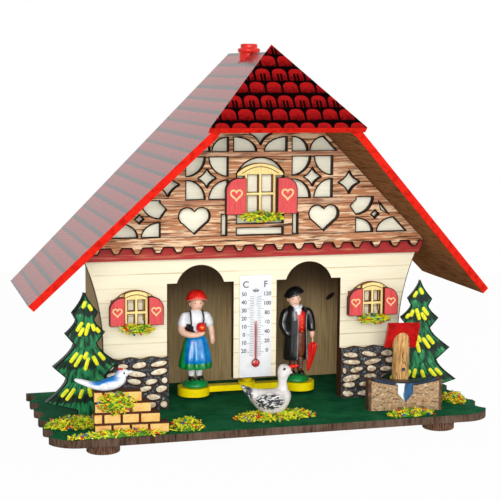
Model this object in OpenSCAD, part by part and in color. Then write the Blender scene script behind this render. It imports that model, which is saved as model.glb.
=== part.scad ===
// Weather house: a plywood cottage whose two figures ride on an arm hung from a gut string.
// Origin: middle of the facade's front face, at table level. +X to the viewer's right, +Y to the back, +Z up.

/* [Base] */
// Width of the base plate over the tips of its scalloped sides
base_w = 178; // [170:1:186]
// Depth of the yard, from the facade to the front edge of the base plate
yard_d = 40.5; // [38:0.5:43]
// Depth of the side wings of the base plate behind the facade
wing_d = 37.3; // [34:0.1:42]
// Thickness of the base plate
base_t = 3; // [2:0.5:5]
// Radius of the two front corners of the base plate
base_corner_r = 12; // [6:1:18]
// Number of scallops cut into each side of the base plate
scallop_n = 5; // [3:1:7]
// Distance of the foremost scallop tip in front of the facade
scallop_front = 34; // [30:0.5:36]
// Depth of a scallop
scallop_depth = 3; // [1.5:0.5:4]
// Width of the tip left between two scallops
scallop_tip = 3; // [2:0.5:5]
// Diameter of a foot
foot_d = 12.7; // [9:0.1:16]
// Height of a foot
foot_h = 4; // [2:0.5:8]
// Distance of the foot centres from the sides of the base plate
foot_inset_x = 21; // [15:1:30]
// Distance of the foot centres from the front and back edges of the base plate
foot_inset_y = 9; // [8:0.5:14]

/* [Walls] */
// Width of the house at the foot of its walls
house_w = 125; // [118:0.5:130]
// Depth of the house, from the facade to the rear face of the back wall
house_d = 43.9; // [43:0.1:52]
// Thickness of the front wall
front_wall_t = 3; // [2:0.5:4]
// Thickness of the side walls
side_wall_t = 3; // [2:0.5:5]
// Thickness of the back wall
back_wall_t = 3; // [2:0.5:4]
// Height above the floor where the front wall starts to flare
flare_start = 25; // [22:1:34]
// Radius of the flare
flare_r = 90; // [70:1:120]
// Height of the stone facing beside the doors
stone_h = 21; // [14:0.5:24]
// Half height of the waves along the top of the stone facing
stone_wave = 0.4; // [0.1:0.1:0.8]
// Number of waves along the top of a stone facing
stone_wave_n = 3; // [1:1:5]

/* [Doors] */
// Width of a doorway
door_w = 27.4; // [24:0.1:28]
// Width of the pillar between the two doorways
pillar_w = 18.3; // [16:0.1:20]
// Height of the lower end of the pillar above the floor
pillar_foot = 10.3; // [8:0.1:14]
// Height of a doorway up to the shoulders of its arch
door_h = 50.3; // [48:0.1:52]
// Width of the arch over a doorway
door_arch_w = 19.3; // [14:0.1:22]
// Rise of the arch over a doorway
door_arch_rise = 7.2; // [4:0.1:8]

/* [Gable] */
// Thickness of the gable panel, the eave band and the stone facing
panel_t = 3; // [2:0.5:3]
// Height of the lower edge of the eave band above the floor
band_z = 60.5; // [59.5:0.1:62]
// Height of the eave band
band_h = 5.5; // [4.5:0.1:7]
// Height of the upper corners of the eave band above its lower edge
band_tip_h = 4.65; // [4:0.05:5]
// Thickness of the timber overlay
overlay_t = 3; // [2:0.5:3]
// Height of the lower edge of the timber overlay, between its teeth
overlay_z = 65.9; // [65:0.1:68]
// Pitch of the teeth under the timber overlay
tooth_pitch = 8.3; // [6:0.1:12]
// Depth of a tooth
tooth_depth = 2.3; // [1:0.1:3]
// Width of a tooth at its root
tooth_root_w = 4.4; // [3:0.1:5.5]
// Width of a tooth at its tip
tooth_tip_w = 1.8; // [1:0.1:2.8]
// Height of the top of the lower beam
low_beam_top = 69.9; // [69:0.1:71]
// Height of the underside of the middle beam
mid_beam_z = 82.2; // [81:0.1:83]
// Height of the middle beam
mid_beam_h = 2.2; // [1.5:0.1:3]
// Height of the underside of the upper beam
top_beam_z = 101.2; // [100.5:0.1:103]
// Height of the upper beam
top_beam_h = 2; // [1.5:0.1:3]
// Distance of the star panels from the middle of the gable
star_panel_x = 21.8; // [21:0.1:23]
// Width of a star panel
star_panel_w = 17.2; // [15:0.1:18]
// Width of the brown webs where two star corners meet
star_web = 1.4; // [0.8:0.1:2]
// Distance from the middle of an inner star to its points
inner_star_r = 3.8; // [3:0.1:4.5]
// Fullness of the cut stars: 1 is the slimmest
star_full = 1.5; // [1.1:0.1:2]
// Cut-back of the hollow sides of the stars, which blunts their points
star_blunt = 0.2; // [0.1:0.05:0.4]
// Distance of the lone stars from the middle of the gable
lone_star_x = 37.5; // [36:0.1:38.5]
// Distance of the lone stars above the middle beam
lone_star_rise = 6; // [5.5:0.1:7]
// Distance from the middle of a lone star to its points
lone_star_r = 4.7; // [3:0.1:5.2]
// Distance of the hearts from the middle of the gable
heart_x = 26.9; // [25:0.1:29]
// Width of a heart
heart_w = 12.8; // [9:0.1:13.5]
// Height of a heart
heart_h = 10.6; // [8:0.1:11]
// Distance of the outer star panels from the middle of the gable
outer_panel_x = 48.9; // [47:0.1:50]
// Width of an outer star panel
outer_panel_w = 16.6; // [14:0.1:17.5]
// Distance from the middle of an outer panel's star to its points
outer_star_r = 1.9; // [1.4:0.1:2.4]
// Reach of the pointed side of an outer panel towards the middle of the gable
outer_tip = 2.6; // [1:0.1:3]
// Distance of the narrow slots beside the attic window from the middle of the gable
slot_x = 14.8; // [14:0.1:16]
// Width of a narrow slot
slot_w = 2.4; // [1.5:0.1:3]
// Height of the slot under the attic window
low_slot_h = 3; // [2:0.1:4]
// Distance of the posts under the hip from the middle of the gable
top_post_x = 12.1; // [11:0.1:13]
// Width of a post under the hip
top_post_w = 2; // [1.5:0.1:3]
// Width of the wide braces, inside the posts under the hip
brace_w = 9.6; // [7:0.1:10]
// Height of the braces under the hip
brace_h = 5.8; // [4:0.1:6.5]
// Width of the outer braces under the hip
outer_brace_w = 6.8; // [5:0.1:7.5]

/* [Roof] */
// Width of the roof over its eaves
roof_w = 188; // [180:1:200]
// Height of the ridge above the floor
ridge_h = 142.1; // [138:0.1:150]
// Height of the upper edge of the eaves above the floor
eave_h = 46.95; // [44:0.05:50]
// Thickness of a roof panel
roof_t = 3; // [2:0.5:4]
// Distance of the front corners of the eaves in front of the facade
eave_front = 19.9; // [14:0.1:26]
// Distance of the front edge of the hip in front of the facade
hip_front = 44.5; // [40:0.1:48]
// Height of the front edge of the hip above the floor
hip_h = 114.1; // [106:0.1:118]
// Slope of the hip panel, in degrees
hip_pitch = 51; // [47:0.1:55]
// Thickness of the hip panel
hip_t = 3; // [2:0.5:4]
// Distance that the peak of the hip panel rises past the ridge, along its slope
hip_peak = 1.2; // [0.4:0.1:2]

/* [Windows] */
// Thickness of the window frames
frame_t = 3; // [2:0.5:3]
// Width of the bars and rails of the window frames
bar_w = 1.1; // [1:0.1:2]
// Thickness of the shutters
shutter_t = 3; // [1.5:0.5:3]
// Clearance of the attic window frame in its cut-out
frame_clear = 0.2; // [0.1:0.05:0.4]
// Width of the attic window cut-out
attic_cut_w = 19.6; // [18:0.1:20]
// Height of the lower edge of the attic window cut-out above the floor
attic_cut_z = 74.4; // [74:0.1:76]
// Height of the springing of the attic window arch above the floor
attic_spring = 94.6; // [93:0.1:96]
// Rise of the arch of the attic window cut-out
attic_rise = 6.2; // [5:0.1:6.4]
// Rise of the arch of the attic window frame
attic_frame_rise = 3.9; // [3:0.1:4.6]
// Width of the attic window frame below its head
attic_frame_w = 12.8; // [11:0.1:15]
// Height of the lower edge of the attic window frame above the floor
attic_frame_z = 77.6; // [77:0.1:79]
// Width of an attic shutter
attic_shutter_w = 8; // [6:0.1:9]
// Height of an attic shutter
attic_shutter_h = 14.3; // [12:0.1:16]
// Height of the lower edge of an attic shutter above the floor
attic_shutter_z = 78.5; // [77:0.1:80]
// Distance of the lower windows from the middle of the facade
window_x = 49.7; // [49:0.1:50.2]
// Width of a lower window frame
window_w = 9.3; // [8:0.1:10]
// Height of the lower edge of a lower window frame above the floor
window_z = 33.6; // [33:0.1:35]
// Height of the springing of a lower window arch above the floor
window_spring = 47.3; // [46.5:0.1:48]
// Rise of a lower window arch
window_rise = 1.2; // [0.8:0.1:2]
// Height of the head bar of a lower window above the floor
window_head_z = 45; // [44:0.1:46]
// Width of the hood over a lower window
hood_w = 16.2; // [14:0.1:18]
// Height of the springing of a hood above the floor
hood_spring = 44.8; // [44:0.1:46]
// Rise of a hood over a lower window
hood_rise = 3.7; // [3:0.1:4.4]
// Width of a lower shutter
shutter_w = 5.8; // [4:0.1:6.2]
// Height of a lower shutter
shutter_h = 11.2; // [9:0.1:13]
// Height of the lower edge of a lower shutter above the floor
shutter_z = 34.9; // [34:0.1:36]
// Thickness of the ears of a lower window frame, behind its shutters
ear_t = 1.5; // [1:0.1:2]
// Radius of the outer upper corner of a shutter
shutter_corner_r = 5; // [2:0.1:5]
// Depth of the flowers on a window
flower_depth = 3; // [2:0.1:3.5]
// Height of the flowers on a window
flower_h = 5.4; // [4:0.1:6]
// Width of the attic flowers
attic_flower_w = 18.6; // [14:0.1:22]
// Width of the flowers of a lower window
window_flower_w = 13.4; // [10:0.1:15]

/* [Thermometer] */
// Width of the thermometer card
card_w = 13.4; // [10:0.1:14]
// Height of the thermometer card
card_h = 42; // [36:0.5:46]
// Thickness of the thermometer card
card_t = 0.8; // [0.4:0.1:1.2]
// Height of the lower edge of the card above the end of the pillar
card_lift = 0.4; // [0:0.1:2]
// Outer diameter of the capillary tube
tube_d = 1.4; // [0.8:0.1:2]
// Height of the middle of the bulb above the lower edge of the card
bulb_lift = 5.9; // [4:0.1:8]
// Diameter of the bulb
bulb_d = 3.5; // [2.4:0.1:4]
// Length of the capillary above the middle of the bulb
tube_l = 31; // [26:0.5:33]

/* [Mechanism] */
// Distance of the turning axis behind the facade
pivot_y = 12; // [11.5:0.1:12.5]
// Diameter of the chimney shank that turns in the ridge
shank_d = 8; // [6:0.1:9]
// Diameter of the chimney collar
collar_d = 9.2; // [9:0.1:11]
// Height of the chimney collar
collar_h = 1.7; // [1:0.1:3]
// Diameter of the chimney cap
cap_d = 7; // [4:0.1:8]
// Height of the chimney cap
cap_h = 1.8; // [1:0.1:3]
// Width of the ridge block
block_w = 18; // [14:0.5:24]
// Depth of the ridge block
block_d = 16; // [12:0.5:16]
// Height of the sides of the ridge block
block_h = 6; // [3:0.5:10]
// Radial running clearance of the shank and of the gut
run_clear = 0.05; // [0.02:0.01:0.1]
// Radial clearance of the shank in the roof
roof_hole_clear = 0.3; // [0.2:0.05:0.5]
// Gap under the chimney collar
collar_gap = 0.1; // [0.05:0.05:0.3]
// Diameter of the gut string
gut_d = 1; // [0.8:0.1:1.5]
// Length of the gut gripped in the chimney
gut_grip = 8; // [4:0.5:10]
// Depth of the gut's socket in the stem
gut_socket = 8; // [4:0.5:12]
// Diameter of the stem of the figure arm
stem_d = 4.3; // [3:0.1:5]
// Height of the top of the stem above the floor
stem_top = 50; // [40:0.5:60]
// Diameter of the hub of the figure arm
hub_d = 7; // [6:0.1:9]
// Height of the hub above the beam
hub_h = 1.2; // [0.5:0.1:2]
// Width of the beam between the discs
beam_w = 4.4; // [3:0.1:6]
// Height of the beam
beam_h = 2.4; // [1.5:0.1:3]
// Diameter of a disc at the end of the beam
disc_d = 13.3; // [11:0.1:14]
// Height of a disc
disc_h = 3.4; // [2.5:0.1:4]
// Gap between the floor and the discs
disc_gap = 1.8; // [1:0.1:2.5]

/* [Figures] */
// Diameter of the mound under a figure
mound_d = 11.4; // [9:0.1:12]
// Height of the mound under a figure
mound_h = 3; // [2:0.1:4]
// Height of the skirt hem above the mound
hem_lift = 4.8; // [3:0.1:6]
// Diameter of the skirt at its hem
hem_d = 13.8; // [11:0.1:14.4]
// Height of the skirt
skirt_h = 14; // [11:0.1:16]
// Diameter of the waist
waist_d = 6.8; // [5:0.1:8]
// Height from the waist to the shoulders
bust_h = 8.4; // [7:0.1:10]
// Half width of the shoulders, to the middle of the joint
shoulder_x = 4.1; // [3.4:0.1:4.6]
// Diameter of a sleeve
sleeve_d = 3.4; // [2.6:0.1:3.8]
// Diameter of a forearm
forearm_d = 2.4; // [1.8:0.1:2.8]
// Diameter of a head
head_d = 6.2; // [5:0.1:7]
// Diameter of a hat brim
brim_d = 8.6; // [7:0.1:9.5]
// Height of the crown of a hat
crown_h = 3.4; // [2.5:0.1:4.5]
// Diameter of the ball that the woman holds
ball_d = 4; // [3:0.1:5]
// Height of the coat hem above the mound
coat_lift = 5.8; // [4:0.1:7]
// Height of the coat from its hem to the shoulders
coat_h = 21.4; // [18:0.1:24]
// Diameter of the coat at its hem
coat_d = 9.8; // [8:0.1:11]
// Half spacing of the legs
leg_x = 2.1; // [2:0.1:2.6]
// Diameter of a leg
leg_d = 3.2; // [2.4:0.1:3.8]
// Length of the umbrella
umbrella_l = 12; // [9:0.1:14]
// Diameter of the umbrella at its upper end
umbrella_d = 2.8; // [2:0.1:3.4]

/* [Yard] */
// Height of a tree
tree_h = 49.7; // [44:0.1:54]
// Half width of a tree at its lowest tips
tree_half_w = 15.8; // [13:0.1:17]
// Thickness of a tree
tree_t = 3; // [2:0.5:4]
// Distance of a tree from the middle of the house
tree_x = 69.7; // [69:0.1:71]
// Distance that both trees stand to the left of even places
tree_shift = 1.6; // [0:0.1:1.8]
// Distance from the stone facing to the middle of a tree
tree_gap = 6; // [5.6:0.1:9]
// Turn of a tree about its trunk, outer tips forward, in degrees
tree_turn = 10; // [0:1:12]
// Length of the brick wall
brick_wall_l = 27.4; // [24:0.1:30]
// Height of a course of bricks
course_h = 4.1; // [3.5:0.1:4.6]
// Number of courses of bricks
course_n = 4; // [3:1:5]
// Thickness of the brick wall
brick_wall_t = 5; // [3:0.5:7]
// Turn of the brick wall about its left end, in degrees
brick_turn = -5; // [-8:1:4]
// Length of the bird from its tail to its beak
bird_l = 21.4; // [18:0.1:24]
// Height of the bird
bird_h = 8.6; // [7:0.1:10]
// Length of the goose from its tail to its beak
goose_l = 23.4; // [20:0.1:26]
// Height of the goose
goose_h = 20; // [17:0.1:22]
// Length of the trough
trough_l = 30; // [26:0.1:32]
// Depth of the trough
trough_d = 6.5; // [5:0.1:8]
// Height of the trough at its ends
trough_h = 12.6; // [10:0.1:14]
// Sag of the top of the trough
trough_sag = 2; // [1:0.1:3]
// Turn of the trough, in degrees
trough_turn = -10; // [-14:1:0]
// Thickness of the painted water layer
water_t = 0.6; // [0.3:0.1:1]
// Length of the water tongue on the front of the trough
tongue_l = 7; // [4:0.1:8]
// Width of the water tongue
tongue_w = 6.2; // [4:0.1:8]
// Diameter of the well post
post_d = 6.8; // [6:0.1:9]
// Height of the front of the well post
post_h = 30.4; // [26:0.1:34]
// Slope of the cut on top of the well post, in degrees
post_slope = 55; // [45:1:60]
// Gap between the trough and the well post
post_gap = 0.3; // [0.1:0.1:1]
// Width of the well roof board
board_w = 12.9; // [11:0.1:16]
// Length of the well roof board, along its slope
board_l = 12.6; // [10:0.1:14]
// Thickness of the well roof board
board_t = 1.8; // [1:0.1:3]
// Distance that the board stands past the front of the post, along its slope
board_lap = 4; // [2:0.1:5]

/* [Hidden] */
$fn = 64;
// Facets of the rounded limbs
limb_fn = 14;
// Straight steps along the edge of a tree tier, and the power of its outward sweep
tier_steps = 5;
tier_sweep = 1.5;
// Straight pieces in a quarter of an ellipse
quarter_steps = 9;
// Facets of the grass tufts
tuft_fn = 18;
// Overlap that lets a cut run through a face
through = 1;
// A length past every part of the house
reach = roof_w;

floor_z = foot_h + base_t;
roof_pitch = atan2(ridge_h - eave_h, roof_w / 2);
roof_drop = roof_t / cos(roof_pitch);
hip_low_y = -hip_front + hip_t * sin(hip_pitch);
hip_low_z = hip_h - hip_t * cos(hip_pitch);
hip_l = (ridge_h - hip_low_z) / sin(hip_pitch);
hip_half_w = (ridge_h - hip_low_z) / tan(roof_pitch);
ridge_front = hip_low_y + (ridge_h - hip_low_z) / tan(hip_pitch);

flare_top_x = flare_x(band_z);
door_mid = (pillar_w + door_w) / 2;
door_outer = pillar_w / 2 + door_w;
overlay_y = -panel_t - overlay_t;
arm_r = door_mid;
block_foot = under_roof(block_w / 2) - block_h;
disc_top = disc_gap + disc_h;
mound_top = disc_top + mound_h;
tree_y = -panel_t - tree_gap;

// Places of the loose yard pieces on the floor
brick_at = [-71.4, -32.6];
goose_at = [0, -25.5];
trough_at = [54.8, -28.4];

// Grass tufts: middle, half length, half depth and height
tree_left_tuft_spot = [-77, -19, 10.5, 7, 3.2];
brick_tuft_spot = [-64, -38.4, 18, 1.7, 2.4];
step_tuft_spot = [-36.5, -34, 6, 4.6, 4.4];
goose_tuft_spot = [1, -26, 16, 6.4, 2.6];
tree_right_tuft_spot = [80, -19, 4.6, 5.4, 3.6];
trough_tuft_spot = [54, -36, 9.4, 2.4, 2.6];

// Height of the underside of the roof at a distance from the middle
function under_roof(x) = ridge_h - roof_drop - x * tan(roof_pitch);

// Half width of the flared front wall at a height
function flare_x(z) = house_w / 2 + flare_r - sqrt(flare_r * flare_r - pow(max(z - flare_start, 0), 2));

// Radius of an arch from its width and rise
function arch_r(w, rise) = (w * w / 4 + rise * rise) / (2 * rise);

// Raises a part onto the floor, the top of the base plate
module on_floor() {
    translate([0, 0, floor_z]) children();
}

// Stands a flat outline up as a plate, from its front face backwards
module plate(front, t) {
    translate([0, front + t, floor_z]) rotate([90, 0, 0]) linear_extrude(t) children();
}

// Makes a pair, left and right
module both() {
    children();
    mirror([1, 0]) children();
}

// A flat outline for a rectangle from its middle and its lower edge
module pane(x, z, w, h) {
    translate([x - w / 2, z]) square([w, h]);
}

// Everything below the roof panels
module roof_space() {
    half = roof_w / 2;
    polygon([
        [-half, under_roof(half)],
        [0, under_roof(0)],
        [half, under_roof(half)],
        [half, -reach],
        [-half, -reach]]);
}

// The part of a flat outline above a height
module above(z) {
    intersection() {
        children();
        translate([-reach, z]) square([2 * reach, reach]);
    }
}

// The part of a flat outline below a height
module below(z) {
    intersection() {
        children();
        translate([-reach, z - reach]) square([2 * reach, reach]);
    }
}

// An arch segment over a springing line, with a straight strip below it
module arch(x, spring, w, rise) {
    r = arch_r(w, rise);
    intersection() {
        translate([x, spring + rise - r]) circle(r);
        pane(x, spring - through, w, rise + 2 * through);
    }
}

// A four-pointed star with hollow sides and blunt points
module star(r) {
    far = star_full * r;
    difference() {
        rotate(45) square(sqrt(2) * r, center = true);
        for (sx = [-1, 1], sz = [-1, 1]) translate([sx * far, sz * far])
            circle(norm([far - r, far]) - star_blunt);
    }
}

// A quarter of an ellipse from its corner; a negative size turns it the other way
module quarter(a, b) {
    polygon(concat([[0, 0]], [for (i = [0 : quarter_steps])
        let (t = 90 * i / quarter_steps) [a * cos(t), b * sin(t)]]));
}

// A quarter of an ellipse with a straight slope on the far side of its corner
module sloped_quarter(a, b) {
    union() {
        quarter(a, b);
        polygon([[a / 2, 0], [-sign(a) * b, 0], [0, b]]);
    }
}

// Four quarters that leave a four-pointed star between them
module star_corners(w, h) {
    for (sx = [-1, 1], sz = [-1, 1]) translate([sx * w / 2, sz * h / 2])
        quarter(sx * (star_web - w) / 2, sz * (star_web - h) / 2);
}

// A star panel at the foot of the gable, cut off by the roof slope on its outer side
module outer_panel(w, h) {
    a = (w - star_web) / 2;
    b = (h - 2 * star_web) / 2;
    tall = b + star_web;
    star(outer_star_r);
    translate([-w / 2, -h / 2]) quarter(a, b);
    translate([-w / 2, h / 2]) union() {
        quarter(a, -tall);
        polygon([[through, 0], [-outer_tip, -tall / 2], [0, -tall], [a / 2, -tall / 2]]);
    }
    translate([w / 2, -h / 2]) sloped_quarter(-a, b);
    polygon([[0.08 * w, 0.4 * h], [0.4 * w, -0.03 * h], [0.15 * w, 0.12 * h]]);
}

// A heart between its lower point and the top of its lobes
module heart(w, h) {
    r = w * 0.27;
    lobe_x = w / 2 - r;
    lobe_z = h - r;
    span = norm([lobe_x, lobe_z]);
    edge = atan2(lobe_z, lobe_x) - asin(r / span) + 90;
    cheek = [lobe_x - 0.97 * r * cos(edge), lobe_z - 0.97 * r * sin(edge)];
    both() translate([lobe_x, lobe_z]) circle(r);
    polygon([[0, 0], cheek, [0, lobe_z + r / 2], [-cheek[0], cheek[1]]]);
}

// Waste outside a round corner whose centre is the origin
module corner_waste(r) {
    difference() {
        square(r + through);
        circle(r);
    }
}

// A doorway on the right
module doorway() {
    pane(door_mid, -through, door_w, door_h + through);
    arch(door_mid, door_h, door_arch_w, door_arch_rise);
}

// Round-ended limb from one ball to another
module limb(a, b, ra, rb) {
    hull() {
        translate(a) sphere(ra, $fn = limb_fn);
        translate(b) sphere(rb, $fn = limb_fn);
    }
}

module base_plate() {
    half = base_w / 2;
    pitch = (scallop_front + wing_d) / scallop_n;
    chord = pitch - scallop_tip;
    bite_r = (chord * chord / 4 + scallop_depth * scallop_depth) / (2 * scallop_depth);
    color("darkgreen") translate([0, 0, foot_h]) linear_extrude(base_t) difference() {
        union() {
            translate([-half, -yard_d]) square([base_w, yard_d + wing_d]);
            translate([-house_w / 2, 0]) square([house_w, house_d]);
        }
        both() translate([half - base_corner_r, base_corner_r - yard_d]) mirror([0, 1])
            corner_waste(base_corner_r);
        for (i = [0 : scallop_n - 1]) {
            bite_y = (i + 0.5) * pitch - scallop_front;
            both() translate([half + bite_r - scallop_depth, bite_y]) circle(bite_r);
        }
    }
}

module feet() {
    foot_x = base_w / 2 - foot_inset_x;
    rim = foot_h / 4;
    color("sienna") for (sx = [-1, 1], y = [foot_inset_y - yard_d, wing_d - foot_inset_y]) {
        translate([sx * foot_x, y, 0]) {
            cylinder(h = rim, d1 = foot_d - 2 * rim, d2 = foot_d);
            translate([0, 0, rim]) cylinder(h = foot_h - rim, d = foot_d);
        }
    }
}

module front_wall() {
    color("cornsilk") plate(0, front_wall_t) difference() {
        intersection() {
            roof_space();
            translate([-flare_top_x, 0]) square([2 * flare_top_x, reach]);
        }
        both() {
            below(band_z) above(flare_start) translate([house_w / 2 + flare_r, flare_start]) circle(flare_r);
            translate([house_w / 2, -through]) square([flare_r, flare_start + through]);
            doorway();
        }
        pane(0, -through, pillar_w + through, pillar_foot + through);
    }
}

// The right-hand side wall, cut off below the roof
module side_wall() {
    outer = house_w / 2;
    inner = outer - side_wall_t;
    length = house_d - back_wall_t - front_wall_t;
    color("peru") plate(front_wall_t, length)
        polygon([[inner, 0], [outer, 0], [outer, under_roof(outer)], [inner, under_roof(inner)]]);
}

module right_side_wall() {
    side_wall();
}

module left_side_wall() {
    mirror([1, 0, 0]) side_wall();
}

module back_wall() {
    color("peru") plate(house_d - back_wall_t, back_wall_t) intersection() {
        roof_space();
        translate([-house_w / 2, 0]) square([house_w, reach]);
    }
}

// The right-hand stone facing, with a wavy upper edge
module stone_facing() {
    width = house_w / 2 - door_outer;
    steps = 8 * stone_wave_n;
    turn = 360 * stone_wave_n / steps;
    top = [for (i = [0 : steps]) [house_w / 2 - width * i / steps, stone_h + stone_wave * sin(turn * i)]];
    color("dimgray") plate(-panel_t, panel_t) polygon(concat([[door_outer, 0], [house_w / 2, 0]], top));
}

module right_stone_facing() {
    stone_facing();
}

module left_stone_facing() {
    mirror([1, 0, 0]) stone_facing();
}

// Outline of the layer in front of the front wall, from the eave band to the ridge
module gable_layer() {
    tip_z = band_z + band_tip_h;
    tip = (under_roof(0) - tip_z) / tan(roof_pitch);
    polygon([
        [-flare_top_x, band_z],
        [flare_top_x, band_z],
        [tip, tip_z],
        [0, under_roof(0)],
        [-tip, tip_z]]);
}

module gable_panel() {
    color("cornsilk") plate(-panel_t, panel_t) above(band_z + band_h) gable_layer();
}

module eave_band() {
    color("indianred") plate(-panel_t, panel_t) below(band_z + band_h) gable_layer();
}

// Cuts in one half of the timber overlay
module timber_cuts() {
    panel_low = mid_beam_z + mid_beam_h;
    panel_h = top_beam_z - panel_low;
    outer_h = panel_low - low_beam_top;
    heart_z = (low_beam_top + mid_beam_z - heart_h) / 2;
    brace_z = top_beam_z + top_beam_h;
    post_in = top_post_x - top_post_w / 2;
    post_out = top_post_x + top_post_w / 2;
    translate([star_panel_x, panel_low + panel_h / 2]) {
        star_corners(star_panel_w, panel_h);
        star(inner_star_r);
    }
    translate([lone_star_x, panel_low + lone_star_rise]) star(lone_star_r);
    translate([heart_x, heart_z]) heart(heart_w, heart_h);
    translate([outer_panel_x, low_beam_top + outer_h / 2]) outer_panel(outer_panel_w, outer_h);
    pane(slot_x, low_beam_top, slot_w, attic_shutter_z - low_beam_top);
    translate([post_in, brace_z]) quarter(-brace_w, brace_h);
    translate([post_out, brace_z]) quarter(outer_brace_w, brace_h);
    translate([post_out + outer_brace_w + star_web / 2 + brace_h, brace_z]) sloped_quarter(-brace_h, brace_h);
}

module timber_overlay() {
    half = (under_roof(0) - overlay_z) / tan(roof_pitch);
    tooth_n = floor((half - tooth_root_w) / tooth_pitch);
    color("saddlebrown") plate(overlay_y, overlay_t) difference() {
        union() {
            polygon([[-half, overlay_z], [half, overlay_z], [0, under_roof(0)]]);
            for (i = [-tooth_n : tooth_n]) translate([i * tooth_pitch, overlay_z]) polygon([
                [-tooth_root_w / 2, through],
                [-tooth_root_w / 2, 0],
                [-tooth_tip_w / 2, -tooth_depth],
                [tooth_tip_w / 2, -tooth_depth],
                [tooth_root_w / 2, 0],
                [tooth_root_w / 2, through]]);
        }
        both() timber_cuts();
        pane(0, low_beam_top, attic_cut_w, low_slot_h);
        attic_cut();
        translate([0, top_beam_z + top_beam_h + brace_h + star_web]) star(lone_star_r);
    }
}

// The opening of the attic window in the timber overlay
module attic_cut() {
    pane(0, attic_cut_z, attic_cut_w, attic_spring - attic_cut_z);
    arch(0, attic_spring, attic_cut_w, attic_rise);
}

// The right-hand roof panel, mitred at the ridge and notched for the chimney
module roof_panel() {
    slope_l = roof_w / 2 / cos(roof_pitch);
    hip_u = hip_half_w / cos(roof_pitch);
    color("firebrick") on_floor() difference() {
        intersection() {
            translate([0, 0, ridge_h]) rotate([0, roof_pitch, 0]) translate([0, 0, -roof_t])
                linear_extrude(roof_t) polygon([
                    [0, house_d],
                    [0, ridge_front],
                    [hip_u, hip_low_y],
                    [slope_l, -eave_front],
                    [slope_l, house_d]]);
            translate([0, -reach, 0]) cube([reach, 2 * reach, reach]);
        }
        translate([0, pivot_y, 0]) cylinder(h = reach, r = shank_d / 2 + roof_hole_clear);
    }
}

module right_roof() {
    roof_panel();
}

module left_roof() {
    mirror([1, 0, 0]) roof_panel();
}

module hip_panel() {
    slant = hip_l + hip_peak;
    foot_half = hip_half_w * slant / hip_l;
    color("firebrick") on_floor() translate([0, hip_low_y, hip_low_z]) rotate([hip_pitch, 0, 0])
        linear_extrude(hip_t) polygon([[-foot_half, 0], [foot_half, 0], [0, slant]]);
}

module ridge_block() {
    half = block_w / 2;
    color("burlywood") difference() {
        plate(pivot_y - block_d / 2, block_d) polygon([
            [-half, block_foot],
            [half, block_foot],
            [half, under_roof(half)],
            [0, under_roof(0)],
            [-half, under_roof(half)]]);
        translate([0, pivot_y, 0]) cylinder(h = 2 * reach, r = shank_d / 2 + run_clear);
    }
}

module thermometer_card() {
    color("white") plate(-card_t, card_t) pane(0, pillar_foot + card_lift, card_w, card_h);
}

module thermometer_tube() {
    bulb_z = pillar_foot + card_lift + bulb_lift;
    color("crimson") on_floor() translate([0, -card_t, bulb_z]) {
        rotate([90, 0, 0]) cylinder(h = tube_d, d = bulb_d);
        translate([0, -tube_d / 2, 0]) cylinder(h = tube_l, d = tube_d);
    }
}

// Panes of a window, two wide and two high, between its rails
module panes(x, z, w, h) {
    pane_w = (w - 3 * bar_w) / 2;
    pane_h = (h - 3 * bar_w) / 2;
    for (sx = [-1, 1], row = [0, 1]) {
        pane(x + sx * (pane_w + bar_w) / 2, z + bar_w + row * (pane_h + bar_w), pane_w, pane_h);
    }
}

module attic_window() {
    head_w = attic_cut_w - 2 * frame_clear;
    color("moccasin") plate(overlay_y, frame_t) difference() {
        union() {
            pane(0, attic_frame_z, attic_frame_w, attic_spring - attic_frame_z);
            arch(0, attic_spring, head_w, attic_frame_rise);
        }
        panes(0, attic_frame_z, attic_frame_w, attic_spring - attic_frame_z + bar_w / 2);
    }
}

// A shutter on the right of a window, with its outer upper corner rounded
module shutter(x, z, w, h) {
    r = min(shutter_corner_r, w - through);
    translate([x, z]) difference() {
        square([w, h]);
        translate([w - r, h - r]) corner_waste(r);
    }
}

module attic_right_shutter() {
    color("indianred") plate(overlay_y - shutter_t, shutter_t)
        shutter(attic_frame_w / 2 + frame_clear, attic_shutter_z, attic_shutter_w, attic_shutter_h);
}

module attic_left_shutter() {
    mirror([1, 0, 0]) attic_right_shutter();
}

// A bunch of flowers along a window: rounded lumps on a flat back
module flowers(x, front, z, w) {
    lump_r = flower_h / 2;
    lump_n = max(2, round(w / flower_h));
    step = (w - flower_h) / (lump_n - 1);
    color("olivedrab") on_floor() translate([x, front, z + lump_r]) intersection() {
        hull() for (i = [0 : lump_n - 1]) translate([i * step - (w - flower_h) / 2, lump_r - flower_depth, 0])
            sphere(lump_r, $fn = limb_fn);
        translate([-reach, -reach, -reach]) cube([2 * reach, reach, 2 * reach]);
    }
}

module attic_flowers() {
    flowers(0, overlay_y - shutter_t, attic_frame_z - flower_h / 2, attic_flower_w);
}

// A lower window on the right of the facade, with ears behind its shutters
module lower_window() {
    ear_z = shutter_z + ear_t;
    ear_h = shutter_h - 2 * ear_t;
    color("moccasin") union() {
        plate(-frame_t, frame_t) difference() {
            union() {
                pane(window_x, window_z, window_w, window_spring - window_z);
                arch(window_x, window_spring, window_w, window_rise);
            }
            panes(window_x, window_z, window_w, window_head_z + bar_w - window_z);
        }
        plate(-ear_t, ear_t) for (side = [-1, 1]) {
            pane(window_x + side * (window_w + shutter_w) / 2, ear_z, shutter_w - ear_t, ear_h);
            pane(window_x + side * window_w / 2, ear_z, 2 * ear_t, ear_h);
        }
        plate(-ear_t, ear_t) difference() {
            arch(window_x, hood_spring, hood_w, hood_rise);
            pane(window_x, hood_spring - ear_t, window_w - 2 * bar_w, window_head_z - hood_spring + ear_t);
        }
    }
}

module right_window() {
    lower_window();
}

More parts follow.
